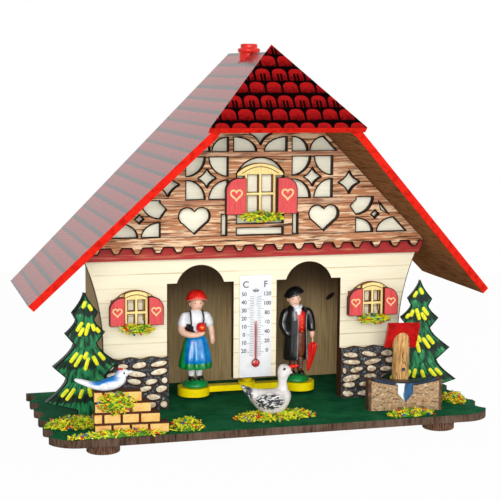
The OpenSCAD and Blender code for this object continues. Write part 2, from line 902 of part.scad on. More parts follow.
module left_window() {
    mirror([1, 0, 0]) lower_window();
}

module right_window_outer_shutter() {
    color("indianred") plate(-ear_t - shutter_t, shutter_t)
        shutter(window_x + window_w / 2 + frame_clear, shutter_z, shutter_w, shutter_h);
}

module right_window_inner_shutter() {
    translate([2 * window_x, 0, 0]) mirror([1, 0, 0]) right_window_outer_shutter();
}

module left_window_outer_shutter() {
    mirror([1, 0, 0]) right_window_outer_shutter();
}

module left_window_inner_shutter() {
    mirror([1, 0, 0]) right_window_inner_shutter();
}

module right_window_flowers() {
    flowers(window_x, -ear_t - shutter_t, window_z - flower_h / 2, window_flower_w);
}

module left_window_flowers() {
    mirror([1, 0, 0]) right_window_flowers();
}

// Half outline of a tree: tiers that sweep out to their tips and cut back to their waists
function tier_edge(a, b) = [for (i = [0 : tier_steps]) let (f = i / tier_steps)
    [a[0] + (b[0] - a[0]) * pow(f, tier_sweep), a[1] + (b[1] - a[1]) * f]];

// Four tiers, top to bottom, as shares of the tree's half width and height
module tree() {
    tip_x = [0.31, 0.49, 0.81, 1] * tree_half_w;
    tip_z = [0.845, 0.684, 0.433, 0.161] * tree_h;
    waist_x = [0, 0.21, 0.27, 0.46] * tree_half_w;
    waist_z = [1, 0.785, 0.6, 0.332] * tree_h;
    trunk_x = 0.22 * tree_half_w;
    skirt_z = 0.08 * tree_h;
    edge = [for (i = [0 : 3]) each tier_edge([waist_x[i], waist_z[i]], [tip_x[i], tip_z[i]])];
    right = concat(edge, [[trunk_x, skirt_z], [trunk_x, 0]]);
    left = [for (i = [len(right) - 1 : -1 : 1]) [-right[i][0], right[i][1]]];
    color("seagreen") on_floor() translate([tree_x, tree_y, 0]) rotate([0, 0, -tree_turn])
        translate([0, tree_t / 2, 0]) rotate([90, 0, 0]) linear_extrude(tree_t) polygon(concat(right, left));
}

module right_tree() {
    translate([-tree_shift, 0, 0]) tree();
}

module left_tree() {
    translate([-tree_shift, 0, 0]) mirror([1, 0, 0]) tree();
}

// Places a part in the frame of the brick wall's left end
module at_brick_wall() {
    translate([brick_at[0], brick_at[1], floor_z]) rotate([0, 0, brick_turn]) children();
}

module brick_wall() {
    run = brick_wall_l / (course_n * 2);
    color("sandybrown") at_brick_wall() rotate([90, 0, 0]) translate([0, 0, -brick_wall_t / 2])
        linear_extrude(brick_wall_t)
            for (i = [0 : course_n - 1]) square([brick_wall_l - i * run, (i + 1) * course_h]);
}

// Limbs laid out on a bird 21.4 long and 8.6 high, then scaled to its sizes
module bird() {
    u = bird_l / 21.4;
    v = bird_h / 8.6;
    color("white") at_brick_wall() translate([6.4 * u, 0, course_n * course_h]) intersection() {
        union() {
            limb([-1 * u, 0, 2.6 * v], [2.6 * u, 0, 3.2 * v], 2.9 * v, 2.6 * v);
            limb([2.6 * u, 0, 3.2 * v], [3.8 * u, 0, 6.2 * v], 2.6 * v, 2.2 * v);
            limb([-1 * u, 0, 2.6 * v], [-7 * u, 0, 2.8 * v], 2.9 * v, 1.5 * v);
            limb([-7 * u, 0, 2.8 * v], [-13 * u, 0, 4.2 * v], 1.5 * v, 0.9 * v);
            limb([5 * u, 0, 6.4 * v], [7.2 * u, 0, 6.9 * v], 1 * v, 0.3 * v);
        }
        translate([-reach, -reach, 0]) cube(2 * reach);
    }
}

// Limbs laid out on a goose 23.4 long and 20 high, then scaled to its sizes
module goose() {
    u = goose_l / 23.4;
    v = goose_h / 20;
    color("white") on_floor() translate([goose_at[0], goose_at[1], 0]) intersection() {
        union() {
            limb([2.4 * u, 0, 6.6 * v], [-3.6 * u, 0, 5.6 * v], 4.4 * v, 4.9 * v);
            limb([-3.6 * u, 0, 5.6 * v], [-8 * u, 0, 8 * v], 4.9 * v, 2.8 * v);
            limb([-8 * u, 0, 8 * v], [-12.2 * u, 0, 12 * v], 2.8 * v, 0.7 * v);
            limb([3.6 * u, 0, 8 * v], [4 * u, 0, 13.4 * v], 3 * v, 1.9 * v);
            limb([4 * u, 0, 13.4 * v], [4.3 * u, 0, 17.2 * v], 1.9 * v, 2.7 * v);
            limb([6.2 * u, 0, 17.4 * v], [10 * u, 0, 18 * v], 1.3 * v, 0.5 * v);
        }
        translate([-reach, -reach, 0]) cube(2 * reach);
    }
}

// Places a part in the frame of the trough's front face
module at_trough() {
    translate([trough_at[0], trough_at[1], floor_z]) rotate([0, 0, trough_turn]) children();
}

// Cylinder that hollows the top of the trough
module trough_hollow(r_less) {
    r = arch_r(trough_l, trough_sag);
    translate([0, -reach, trough_h - trough_sag + r]) rotate([-90, 0, 0])
        cylinder(h = 2 * reach, r = r - r_less, $fn = 128);
}

module trough() {
    color("rosybrown") at_trough() difference() {
        translate([-trough_l / 2, 0, 0]) cube([trough_l, trough_d, trough_h]);
        trough_hollow(0);
    }
}

module trough_water() {
    edge = trough_l / 2 - trough_sag;
    top = trough_h - trough_sag;
    half = tongue_w / 2;
    color("steelblue") at_trough() {
        difference() {
            intersection() {
                translate([-edge, -water_t, 0]) cube([2 * edge, trough_d + water_t, trough_h]);
                trough_hollow(0);
            }
            trough_hollow(water_t);
        }
        rotate([90, 0, 0]) linear_extrude(water_t) polygon([
            [-half, top + water_t / 2],
            [half, top + water_t / 2],
            [half, top - tongue_l / 2],
            [0, top - tongue_l],
            [-half, top - tongue_l / 2]]);
    }
}

// The slanted plane on top of the well post, with its origin at the front of the post
module on_post_slope() {
    at_trough() translate([0, trough_d + post_gap, post_h]) rotate([-post_slope, 0, 0]) children();
}

module well_post() {
    color("tan") difference() {
        at_trough() translate([0, trough_d + post_gap + post_d / 2, 0]) cylinder(h = 2 * post_h, d = post_d);
        on_post_slope() translate([-reach, -reach, 0]) cube(2 * reach);
    }
}

module well_roof() {
    color("red") on_post_slope() translate([-board_w / 2, -board_lap, 0]) cube([board_w, board_l, board_t]);
}

// A low mound of grass crumbs: a flattened round cap
module tuft(spot) {
    color("yellowgreen") on_floor() translate([spot[0], spot[1], 0]) intersection() {
        resize([2 * spot[2], 2 * spot[3], 2 * spot[4]]) sphere(1, $fn = tuft_fn);
        translate([-reach, -reach, 0]) cube(2 * reach);
    }
}

module tree_left_tuft() {
    tuft(tree_left_tuft_spot);
}

module brick_tuft() {
    tuft(brick_tuft_spot);
}

module step_tuft() {
    tuft(step_tuft_spot);
}

module goose_tuft() {
    difference() {
        tuft(goose_tuft_spot);
        goose();
    }
}

module tree_right_tuft() {
    tuft(tree_right_tuft_spot);
}

module trough_tuft() {
    tuft(trough_tuft_spot);
}

// A clump of crumbs on the front of the brick wall
module brick_top_tuft() {
    clump_r = course_h;
    clump_at = [2.4 * clump_r, -brick_wall_t / 2, (course_n - 1) * course_h];
    color("yellowgreen") at_brick_wall() translate(clump_at) intersection() {
        resize([3 * clump_r, clump_r, 2 * clump_r]) sphere(1, $fn = tuft_fn);
        translate([-reach, -2 * reach, -reach]) cube(2 * reach);
    }
}

module chimney() {
    collar_z = ridge_h + collar_gap;
    shank_foot = block_foot - through;
    color("red") on_floor() translate([0, pivot_y, 0]) difference() {
        union() {
            translate([0, 0, shank_foot]) cylinder(h = collar_z + collar_h / 2 - shank_foot, d = shank_d);
            translate([0, 0, collar_z]) cylinder(h = collar_h, d = collar_d);
            translate([0, 0, collar_z + collar_h / 2]) cylinder(h = collar_h / 2 + cap_h, d = cap_d);
        }
        translate([0, 0, shank_foot - through]) cylinder(h = gut_grip + through, d = gut_d);
    }
}

module gut_string() {
    low = stem_top - gut_socket + run_clear;
    high = block_foot - through + gut_grip;
    color("wheat") on_floor() translate([0, pivot_y, low]) cylinder(h = high - low, d = gut_d);
}

module figure_arm() {
    beam_z = disc_top - beam_h;
    color("gold") on_floor() translate([0, pivot_y, 0]) difference() {
        union() {
            for (side = [-1, 1]) translate([side * arm_r, 0, disc_gap]) cylinder(h = disc_h, d = disc_d);
            translate([-arm_r, -beam_w / 2, beam_z]) cube([2 * arm_r, beam_w, beam_h]);
            translate([0, 0, beam_z]) cylinder(h = beam_h + hub_h, d = hub_d);
            translate([0, 0, beam_z]) cylinder(h = stem_top - beam_z, d = stem_d);
        }
        translate([0, 0, stem_top - gut_socket])
            cylinder(h = gut_socket + through, r = gut_d / 2 + run_clear);
    }
}

// Places a figure on its disc
module on_disc(side) {
    on_floor() translate([side * arm_r, pivot_y, disc_top]) children();
}

// A green mound with two shoes and legs up to a height
module mound_and_legs(top) {
    shoe_r = leg_d * 0.55;
    cylinder(h = mound_h, d1 = mound_d, d2 = mound_d - mound_h);
    for (side = [-1, 1]) translate([side * leg_x, 0, 0]) {
        translate([0, 0, mound_h / 2]) cylinder(h = top - mound_h / 2, d = leg_d);
        translate([0, -shoe_r, mound_h + shoe_r / 3]) sphere(shoe_r);
    }
}

// A trunk from a waist up to a pair of shoulders
module trunk(waist_z, shoulder_z) {
    joint_r = sleeve_d * 0.45;
    hull() {
        translate([0, 0, waist_z]) sphere(waist_d * 0.48, $fn = limb_fn);
        for (side = [-1, 1]) translate([side * shoulder_x * 0.9, 0, shoulder_z - sleeve_d / 2])
            sphere(joint_r, $fn = limb_fn);
    }
}

// A head under a hat, from the shoulder line up
module head_and_hat(z, tilt) {
    head_r = head_d / 2;
    translate([0, 0, z]) {
        translate([0, 0, -head_r / 2]) cylinder(h = head_r * 1.5, d = head_r);
        translate([0, 0, head_r * 1.2]) sphere(head_r);
        translate([0, 0, head_r * 1.8]) rotate([0, tilt, 0]) {
            cylinder(h = head_r / 3, d1 = brim_d, d2 = brim_d - head_r / 2);
            translate([0, 0, head_r / 6]) cylinder(h = crown_h, d1 = head_d * 1.1, d2 = head_d * 0.6);
        }
    }
}

module woman() {
    hem_z = mound_h + hem_lift;
    waist_z = hem_z + skirt_h;
    shoulder_z = waist_z + bust_h;
    sleeve_r = sleeve_d / 2;
    hand_r = forearm_d / 2;
    elbow = [shoulder_x + sleeve_r, 0, waist_z + sleeve_d];
    hold = [ball_d / 3, -waist_d * 0.65, waist_z + forearm_d];
    color("royalblue") on_disc(-1) {
        mound_and_legs(hem_z + leg_d / 2);
        translate([0, 0, hem_z]) cylinder(h = skirt_h, d1 = hem_d, d2 = waist_d);
        trunk(waist_z, shoulder_z);
        limb([-shoulder_x, 0, shoulder_z - sleeve_r], [-elbow[0], 0, elbow[2]], sleeve_r, sleeve_r);
        limb([shoulder_x, 0, shoulder_z - sleeve_r], elbow, sleeve_r, sleeve_r);
        limb([-elbow[0], 0, elbow[2]], hold, hand_r, hand_r);
        limb(elbow, [elbow[0], 0, waist_z - sleeve_d], hand_r, hand_r);
        translate([hold[0] + hand_r, hold[1], hold[2] + hand_r]) sphere(d = ball_d);
        head_and_hat(shoulder_z, 0);
    }
}

module man() {
    hem_z = mound_h + coat_lift;
    shoulder_z = hem_z + coat_h;
    belt_z = hem_z + coat_h / 2;
    sleeve_r = sleeve_d / 2;
    hand_r = forearm_d / 2;
    elbow = [shoulder_x + sleeve_r, 0, shoulder_z - bust_h + sleeve_r];
    hand = [elbow[0] - hand_r / 2, -hand_r, hem_z + coat_h / 4];
    umbrella_lean = 10;
    color("dimgray") on_disc(1) {
        mound_and_legs(hem_z + leg_d / 2);
        translate([0, 0, hem_z]) cylinder(h = coat_h / 2, d1 = coat_d, d2 = waist_d);
        trunk(belt_z, shoulder_z);
        limb([-shoulder_x, 0, shoulder_z - sleeve_r], [-elbow[0], 0, elbow[2]], sleeve_r, sleeve_r);
        limb([shoulder_x, 0, shoulder_z - sleeve_r], elbow, sleeve_r, sleeve_r);
        limb([-elbow[0], 0, elbow[2]], [-coat_d * 0.4, -hand_r, belt_z - hand_r], hand_r, hand_r);
        limb(elbow, hand, hand_r, hand_r);
        translate(hand) rotate([0, 180 + umbrella_lean, 0])
            cylinder(h = umbrella_l, d1 = umbrella_d, d2 = umbrella_d / 2);
        head_and_hat(shoulder_z, -10);
    }
}

base_plate();
feet();
front_wall();
left_side_wall();
right_side_wall();
back_wall();
left_stone_facing();
right_stone_facing();
gable_panel();
eave_band();
timber_overlay();
left_roof();
right_roof();
hip_panel();
ridge_block();
thermometer_card();
thermometer_tube();
attic_window();
attic_left_shutter();
attic_right_shutter();
attic_flowers();
left_window();
left_window_outer_shutter();
left_window_inner_shutter();
left_window_flowers();
right_window();
right_window_outer_shutter();
right_window_inner_shutter();
right_window_flowers();
left_tree();
right_tree();
brick_wall();
bird();
goose();
trough();
trough_water();
well_post();
well_roof();
tree_left_tuft();
brick_tuft();
brick_top_tuft();
step_tuft();
goose_tuft();
tree_right_tuft();
trough_tuft();
chimney();
gut_string();
figure_arm();
woman();
man();
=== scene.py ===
import math
import random

import bpy
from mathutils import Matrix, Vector


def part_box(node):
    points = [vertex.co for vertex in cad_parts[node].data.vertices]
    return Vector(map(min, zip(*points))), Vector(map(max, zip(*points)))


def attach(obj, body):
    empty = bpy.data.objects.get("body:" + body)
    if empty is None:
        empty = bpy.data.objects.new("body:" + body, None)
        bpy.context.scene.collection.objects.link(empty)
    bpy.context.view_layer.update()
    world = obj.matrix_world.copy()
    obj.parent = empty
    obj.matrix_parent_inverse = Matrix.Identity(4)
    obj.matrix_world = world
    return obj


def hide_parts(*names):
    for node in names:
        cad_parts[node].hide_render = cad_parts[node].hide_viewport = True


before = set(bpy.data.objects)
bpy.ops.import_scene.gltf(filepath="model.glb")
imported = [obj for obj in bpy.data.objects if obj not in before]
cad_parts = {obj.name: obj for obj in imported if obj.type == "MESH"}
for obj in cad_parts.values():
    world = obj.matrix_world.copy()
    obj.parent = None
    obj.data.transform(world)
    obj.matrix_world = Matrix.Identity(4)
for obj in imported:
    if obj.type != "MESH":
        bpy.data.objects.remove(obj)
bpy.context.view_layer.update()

mm = 0.001
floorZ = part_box("base_plate")[1].z  # the green floor, top of the base plate
floorMm = floorZ / mm
shutters = ("attic_left_shutter", "attic_right_shutter", "left_window_outer_shutter",
            "left_window_inner_shutter", "right_window_outer_shutter", "right_window_inner_shutter")
windows = ("attic_window", "left_window", "right_window")


# small tools for modelling

def startFresh():
    if bpy.context.mode != "OBJECT":
        bpy.ops.object.mode_set(mode="OBJECT")
    bpy.ops.object.select_all(action="DESELECT")


def pick(obj):
    startFresh()
    obj.select_set(True)
    bpy.context.view_layer.objects.active = obj


def applyPlace(obj, place=(0, 0, 0), turn=(0, 0, 0), scale=(1, 1, 1)):
    pick(obj)
    obj.location = Vector(obj.location) + Vector(place)
    obj.rotation_euler = [math.radians(angle) for angle in turn]
    obj.scale = scale
    bpy.ops.object.transform_apply(location=True, rotation=True, scale=True)
    return obj


def applyModifier(obj, kind, **settings):
    pick(obj)
    modifier = obj.modifiers.new(kind, kind)
    for name, value in settings.items():
        setattr(modifier, name, value)
    bpy.ops.object.modifier_apply(modifier=modifier.name)
    return obj


def editAll(obj):
    pick(obj)
    bpy.ops.object.mode_set(mode="EDIT")
    bpy.ops.mesh.select_all(action="SELECT")


def weld(obj):
    editAll(obj)
    bpy.ops.mesh.remove_doubles(threshold=1e-6)
    bpy.ops.mesh.normals_make_consistent(inside=False)
    bpy.ops.object.mode_set(mode="OBJECT")
    return obj


def smooth(obj, angle=60):
    pick(obj)
    bpy.ops.object.shade_smooth_by_angle(angle=math.radians(angle))
    return obj


def selectFaces(obj, test):
    # enters edit mode with the faces that pass the test selected
    pick(obj)
    bpy.ops.object.mode_set(mode="EDIT")
    bpy.ops.mesh.select_mode(type="FACE")
    bpy.ops.mesh.select_all(action="DESELECT")
    bpy.ops.object.mode_set(mode="OBJECT")
    for face in obj.data.polygons:
        face.select = test(face.center / mm, face.normal)
    bpy.ops.object.mode_set(mode="EDIT")


def deleteFaces(obj, test):
    selectFaces(obj, test)
    bpy.ops.mesh.delete(type="FACE")
    bpy.ops.object.mode_set(mode="OBJECT")
    return obj


def copyOf(obj):
    twin = obj.copy()
    twin.data = obj.data.copy()
    bpy.context.scene.collection.objects.link(twin)
    return twin


def remove(obj):
    bpy.data.objects.remove(obj)


def joinAll(parts):
    startFresh()
    for part in parts:
        part.select_set(True)
    bpy.context.view_layer.objects.active = parts[0]
    if len(parts) > 1:
        bpy.ops.object.join()
    return parts[0]


def paint(obj, finish):
    obj.data.materials.clear()
    obj.data.materials.append(finish)
    return obj


def joinPainted(parts):
    # joins pieces that are listed with their finishes
    return joinAll([paint(obj, finish) for obj, finish in parts])


def finishPiece(obj, name, body="house", nodes=()):
    obj.name = obj.data.name = name
    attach(obj, body)
    if nodes:
        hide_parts(*nodes)
    return obj


def loft(rings, sides=24):
    # rings from one end to the other: middle x, y, z and half widths in x and y, in mm
    x, y, z, halfX, halfY = rings[0]
    startFresh()
    bpy.ops.mesh.primitive_circle_add(vertices=sides, radius=mm, fill_type="NGON")
    obj = bpy.context.object
    editAll(obj)
    bpy.ops.transform.resize(value=(halfX, halfY, 1), center_override=(0, 0, 0))
    bpy.ops.transform.translate(value=(x * mm, y * mm, z * mm))
    for ring in rings[1:]:
        step = [(new - old) * mm for new, old in zip(ring, (x, y, z))]
        bpy.ops.mesh.extrude_region_move(TRANSFORM_OT_translate={"value": step})
        x, y, z = ring[:3]
        grow = (ring[3] / halfX, ring[4] / halfY, 1)
        bpy.ops.transform.resize(value=grow, center_override=(x * mm, y * mm, z * mm))
        halfX, halfY = ring[3:]
    bpy.ops.object.mode_set(mode="OBJECT")
    weld(obj)
    return smooth(applyModifier(obj, "SUBSURF", levels=1, render_levels=1))


def stack(rings, sides=24, x=0, y=0):
    # upright loft on one axis: z, half width and half depth of each ring
    return loft([(x, y, z, wide, deep) for z, wide, deep in rings], sides)


def turned(profile, sides=24, x=0, y=0):
    # round upright loft: z and radius of each ring
    return stack([(z, radius, radius) for z, radius in profile], sides, x, y)


def loftAlongX(rings, sides=24):
    # rings from the tail to the head: x, middle z, half height and half width, in mm
    obj = loft([(-z, 0, x, halfZ, halfY) for x, z, halfZ, halfY in rings], sides)
    return applyPlace(obj, turn=(0, 90, 0))


def newRod(kind, route, depth, resolution):
    # a round curve along points x, y, z in metres, each with its share of the depth
    startFresh()
    bpy.ops.curve.primitive_nurbs_path_add()
    obj = bpy.context.object
    curve = obj.data
    curve.splines.clear()
    spline = curve.splines.new(kind)
    spline.points.add(len(route) - 1)
    for point, (x, y, z, radius) in zip(spline.points, route):
        point.co = (x, y, z, 1)
        point.radius = radius
    curve.bevel_depth = depth
    curve.bevel_resolution = resolution
    curve.use_fill_caps = True
    return obj, spline


def limb(points, resolution=4):
    # a round tapered rod through points x, y, z with radius, in mm, with rounded ends
    first, last = Vector(points[0]), Vector(points[-1])
    capStart = first + (first - Vector(points[1])).normalized() * first.w * 0.6
    capEnd = last + (last - Vector(points[-2])).normalized() * last.w * 0.6
    capStart.w, capEnd.w = first.w * 0.3, last.w * 0.3
    route = [capStart] + [Vector(point) for point in points] + [capEnd]
    route = [(x * mm, y * mm, z * mm, radius) for x, y, z, radius in route]
    spline = newRod("NURBS", route, mm, resolution)[1]
    spline.order_u = 3
    spline.use_endpoint_u = True
    spline.resolution_u = 4
    bpy.ops.object.convert(target="MESH")
    return smooth(weld(bpy.context.object))


def ball(x, y, z, halfX, halfY, halfZ, segments=20):
    startFresh()
    bpy.ops.mesh.primitive_uv_sphere_add(segments=segments, ring_count=segments // 2, radius=mm)
    obj = bpy.context.object
    return smooth(applyPlace(obj, (x * mm, y * mm, z * mm), scale=(halfX, halfY, halfZ)))


def block(x, y, z, sizeX, sizeY, sizeZ, edge):
    # a box from its middle, with its edges rounded
    startFresh()
    bpy.ops.mesh.primitive_cube_add(size=mm)
    obj = applyPlace(bpy.context.object, (x * mm, y * mm, z * mm), scale=(sizeX, sizeY, sizeZ))
    editAll(obj)
    bpy.ops.mesh.bevel(offset=edge * mm, segments=2, affect="EDGES")
    bpy.ops.object.mode_set(mode="OBJECT")
    return smooth(obj, 40)


def ripple(obj, wave, axis=lambda z: (0, 0)):
    # widens an upright piece by a wave of the angle round its axis and of the height in mm
    for vertex in obj.data.vertices:
        z = vertex.co.z / mm
        axisX, axisY = axis(z)
        x, y = vertex.co.x - axisX, vertex.co.y - axisY
        grow = wave(math.atan2(y, x), z)
        vertex.co.x, vertex.co.y = axisX + x * grow, axisY + y * grow
    return obj


# small tools for finishes

def rgb(red, green, blue):
    return tuple(((c / 255 + 0.055) / 1.055) ** 2.4 for c in (red, green, blue)) + (1.0,)


def darker(colour, share):
    return tuple(c * share for c in colour[:3]) + (1,)


def newFinish(name, rough, sockets=None):
    finish = bpy.data.materials.new(name)
    finish.use_nodes = True
    shader = finish.node_tree.nodes["Principled BSDF"]
    shader.inputs["Roughness"].default_value = rough
    shader.inputs["Specular IOR Level"].default_value = 0.2  # dry paint and raw wood shine little
    for socket, value in (sockets or {}).items():
        shader.inputs[socket].default_value = value
    return finish


def isSocket(value):
    return isinstance(value, bpy.types.NodeSocket)


def addNode(owner, kind, wires, **settings):
    # adds a node to a finish or the world, or beside one of its sockets
    tree = owner.id_data if isSocket(owner) else owner.node_tree
    node = tree.nodes.new("ShaderNode" + kind)
    for name, value in settings.items():
        setattr(node, name, value)
    for socket, value in wires.items():
        if isSocket(value):
            tree.links.new(value, node.inputs[socket])
        else:
            node.inputs[socket].default_value = value
    return node


def wire(finish, socket, source):
    shader = finish.node_tree.nodes["Principled BSDF"]
    finish.node_tree.links.new(source, shader.inputs[socket])
    return finish


def calc(operation, *values):
    beside = next(value for value in values if isSocket(value))
    return addNode(beside, "Math", dict(enumerate(values)), operation=operation).outputs[0]


def times(first, second):
    return calc("MULTIPLY", first, second)


def square(value):
    return calc("POWER", value, 2.0)


def mixColour(share, first, second):
    return addNode(share, "Mix", {0: share, 6: first, 7: second}, data_type="RGBA").outputs[2]


def blend(share, strength, face, colour):
    # lays a colour over a face, by a share times a strength
    return mixColour(times(share, strength), face, colour)


def colourBy(finish, share, first, second):
    return wire(finish, "Base Color", mixColour(share, first, second))


def fade(value, low, high):
    wires = {"Value": value, "From Min": low, "From Max": high}
    return addNode(value, "MapRange", wires, interpolation_type="SMOOTHSTEP").outputs[0]


def between(value, low, high, soft):
    up = fade(value, low - soft, low + soft)
    return times(up, fade(value, high + soft, high - soft))


def objectPlace(finish):
    return addNode(finish, "TexCoord", {}).outputs["Object"]


def along(finish, direction, start=(0, 0, 0)):
    # distance along a direction from a start point, in mm
    wires = {0: objectPlace(finish), 1: start}
    moved = addNode(finish, "VectorMath", wires, operation="SUBTRACT").outputs[0]
    inMm = tuple(part / mm for part in direction)
    return addNode(finish, "VectorMath", {0: moved, 1: inMm}, operation="DOT_PRODUCT").outputs["Value"]


def facing(finish, direction):
    wires = {0: addNode(finish, "TexCoord", {}).outputs["Normal"], 1: direction}
    return addNode(finish, "VectorMath", wires, operation="DOT_PRODUCT").outputs["Value"]


def grain(finish, size, stretch=(1, 1, 1), detail=4.0):
    # noise with blotches of a size in mm, drawn out along x, y and z
    scale = tuple(1 / (size * mm * share) for share in stretch)
    mapped = addNode(finish, "Mapping", {"Vector": objectPlace(finish), "Scale": scale}).outputs[0]
    wires = {"Vector": mapped, "Scale": 1.0, "Detail": detail, "Roughness": 0.6}
    return addNode(finish, "TexNoise", wires).outputs[0]


def patches(finish, size, low, high, stretch=(1, 1, 1), detail=4.0):
    # a share from 0 to 1, in blotches where the noise goes from low to high
    return fade(grain(finish, size, stretch, detail), low, high)


def relief(finish, height, depth):
    bump = addNode(finish, "Bump", {"Height": height, "Distance": depth * mm, "Strength": 1.0})
    return wire(finish, "Normal", bump.outputs[0])


def sawnPlate(finish, face, edge, direction=(0, 1, 0)):
    # colours a sawn plate: its painted faces, and its dark cut edges
    flat = calc("ABSOLUTE", facing(finish, direction))
    return colourBy(finish, fade(flat, 0.45, 0.75), edge, face)


def twoTone(name, rough, colours, patch, sockets=None, bump=None):
    # two colours in patches (size, low, high and stretch), on a surface with bumps of a size and depth
    finish = newFinish(name, rough, sockets)
    tone = patches(finish, *patch)
    colourBy(finish, tone, *colours)
    if bump:
        size, depth = bump
        relief(finish, grain(finish, size) if size else tone, depth)  # with no size, it follows the patches
    return finish


def glossPaint(name, colour, shade, rough=0.28, coat=0.35, size=3.0, blur=0.12):
    # brushed lacquer: a little uneven in colour and surface
    sockets = {"Coat Weight": coat, "Coat Roughness": blur}
    return twoTone(name, rough, (colour, shade), (size, 0.38, 0.68), sockets, (0.9, 0.04))


def dress(finish, *nodes):
    for node in nodes:
        paint(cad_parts[node], finish)


print("weather house: frame loaded")


# camera, floor and light

cameraSet = {
    "place": (-0.1494, -0.51833, 0.14219),
    "azimuth": -15.84,
    "elevation": 7.63,
    "roll": 0.42,
    "lens": 96.8,
    "sensor": 36.0,
}


def addCamera():
    startFresh()
    bpy.ops.object.camera_add(location=cameraSet["place"])
    camera = bpy.context.object
    tilt = math.radians(90 - cameraSet["elevation"])
    camera.rotation_euler = (tilt, 0, math.radians(cameraSet["azimuth"]))
    camera.rotation_euler.rotate_axis("Z", math.radians(cameraSet["roll"]))
    camera.data.sensor_width = cameraSet["sensor"]
    camera.data.lens = cameraSet["lens"]
    camera.data.clip_start = 0.01
    bpy.context.scene.camera = camera


studio = {
    "worldStrength": 0.26,
    "floorHalf": 3.0,
    "floorColour": rgb(250, 250, 250),
    "clearNear": 0.97,  # how white the floor looks by the house; it clears to white further out
    "clearFrom": 0.2,
    "clearTo": 0.45,
    "aim": (0, 0, 0.06),
    "lamps": {  # place, size and power
        "key": ((-0.5, -1.0, 0.42), 0.6, 2.4),
        "fill": ((0.6, -0.9, 0.3), 0.8, 2.9),
        "low": ((-0.2, -1.03, 0.24), 0.6, 7.1),
        "top": ((0.1, 0.3, 1.0), 0.8, 1.8),
    },
}


def seenRays(finish):
    # rays that should meet the white background: camera, glossy and transmission
    path = addNode(finish, "LightPath", {})
    seen = calc("MAXIMUM", path.outputs["Is Camera Ray"], path.outputs["Is Glossy Ray"])
    return calc("MAXIMUM", seen, path.outputs["Is Transmission Ray"])


def addStudio():
    world = bpy.data.worlds.new("studio")
    bpy.context.scene.world = world
    world.use_nodes = True
    background = world.node_tree.nodes["Background"]
    background.inputs["Color"].default_value = (1, 1, 1, 1)
    low = studio["worldStrength"]
    strength = calc("MULTIPLY_ADD", seenRays(world), 1.0 - low, low)
    world.node_tree.links.new(strength, background.inputs["Strength"])

    startFresh()
    bpy.ops.mesh.primitive_plane_add(size=2 * studio["floorHalf"])
    floor = bpy.context.object
    floor.name = "studio_floor"
    finish = newFinish("paleFloor", 0.9, {"Base Color": studio["floorColour"], "Specular IOR Level": 0.1})
    tree = finish.node_tree
    away = addNode(finish, "VectorMath", {0: objectPlace(finish)}, operation="LENGTH").outputs["Value"]
    far = fade(away, studio["clearFrom"], studio["clearTo"])
    white = addNode(finish, "Emission", {"Color": (1, 1, 1, 1), "Strength": 1.0})
    share = times(calc("MAXIMUM", far, studio["clearNear"]), seenRays(finish))
    shader = tree.nodes["Principled BSDF"]
    mixed = addNode(finish, "MixShader", {0: share, 1: shader.outputs[0], 2: white.outputs[0]})
    tree.links.new(mixed.outputs[0], tree.nodes["Material Output"].inputs["Surface"])
    paint(floor, finish)

    for name, (place, size, power) in studio["lamps"].items():
        startFresh()
        bpy.ops.object.light_add(type="AREA", location=place)
        light = bpy.context.object
        light.name = "studio_" + name
        light.data.size = size
        light.data.energy = power
        light.rotation_euler = (Vector(studio["aim"]) - Vector(place)).to_track_quat("-Z", "Y").to_euler()


addCamera()
addStudio()
bpy.context.scene.view_settings.view_transform = "Standard"
print("weather house: studio set")


# the gut string, twisted, from the chimney down into the stem

gutSet = {
    "points": 16,
    "strands": 3,
    "twistPitch": 2.2,
    "colour": rgb(214, 190, 140),
    "groove": rgb(140, 104, 62),
}


def addGut():
    low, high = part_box("gut_string")
    middle = (low + high) / 2
    radius = (high.x - low.x) / 2
    last = gutSet["points"] - 1
    route = [(middle.x, middle.y, high.z + (low.z - high.z) * i / last, 1) for i in range(last + 1)]
    obj = newRod("POLY", route, radius, 4)[0]

    finish = newFinish("twistedGut", 0.42)
    x = along(finish, (1, 0, 0), middle)
    y = along(finish, (0, 1, 0), middle)
    angle = times(calc("ARCTAN2", y, x), float(gutSet["strands"]))
    turns = times(along(finish, (0, 0, 1)), 2 * math.pi / gutSet["twistPitch"])
    strand = calc("SINE", calc("ADD", angle, turns))
    colourBy(finish, fade(strand, -0.9, 0.2), gutSet["groove"], gutSet["colour"])
    relief(finish, strand, 0.08)
    paint(obj, finish)
    finishPiece(obj, "gut_twist_string", "adjuster", ["gut_string"])


addGut()
print("weather house: gut string done")


# plates of the house: paint on the faces, burnt brown where they were cut

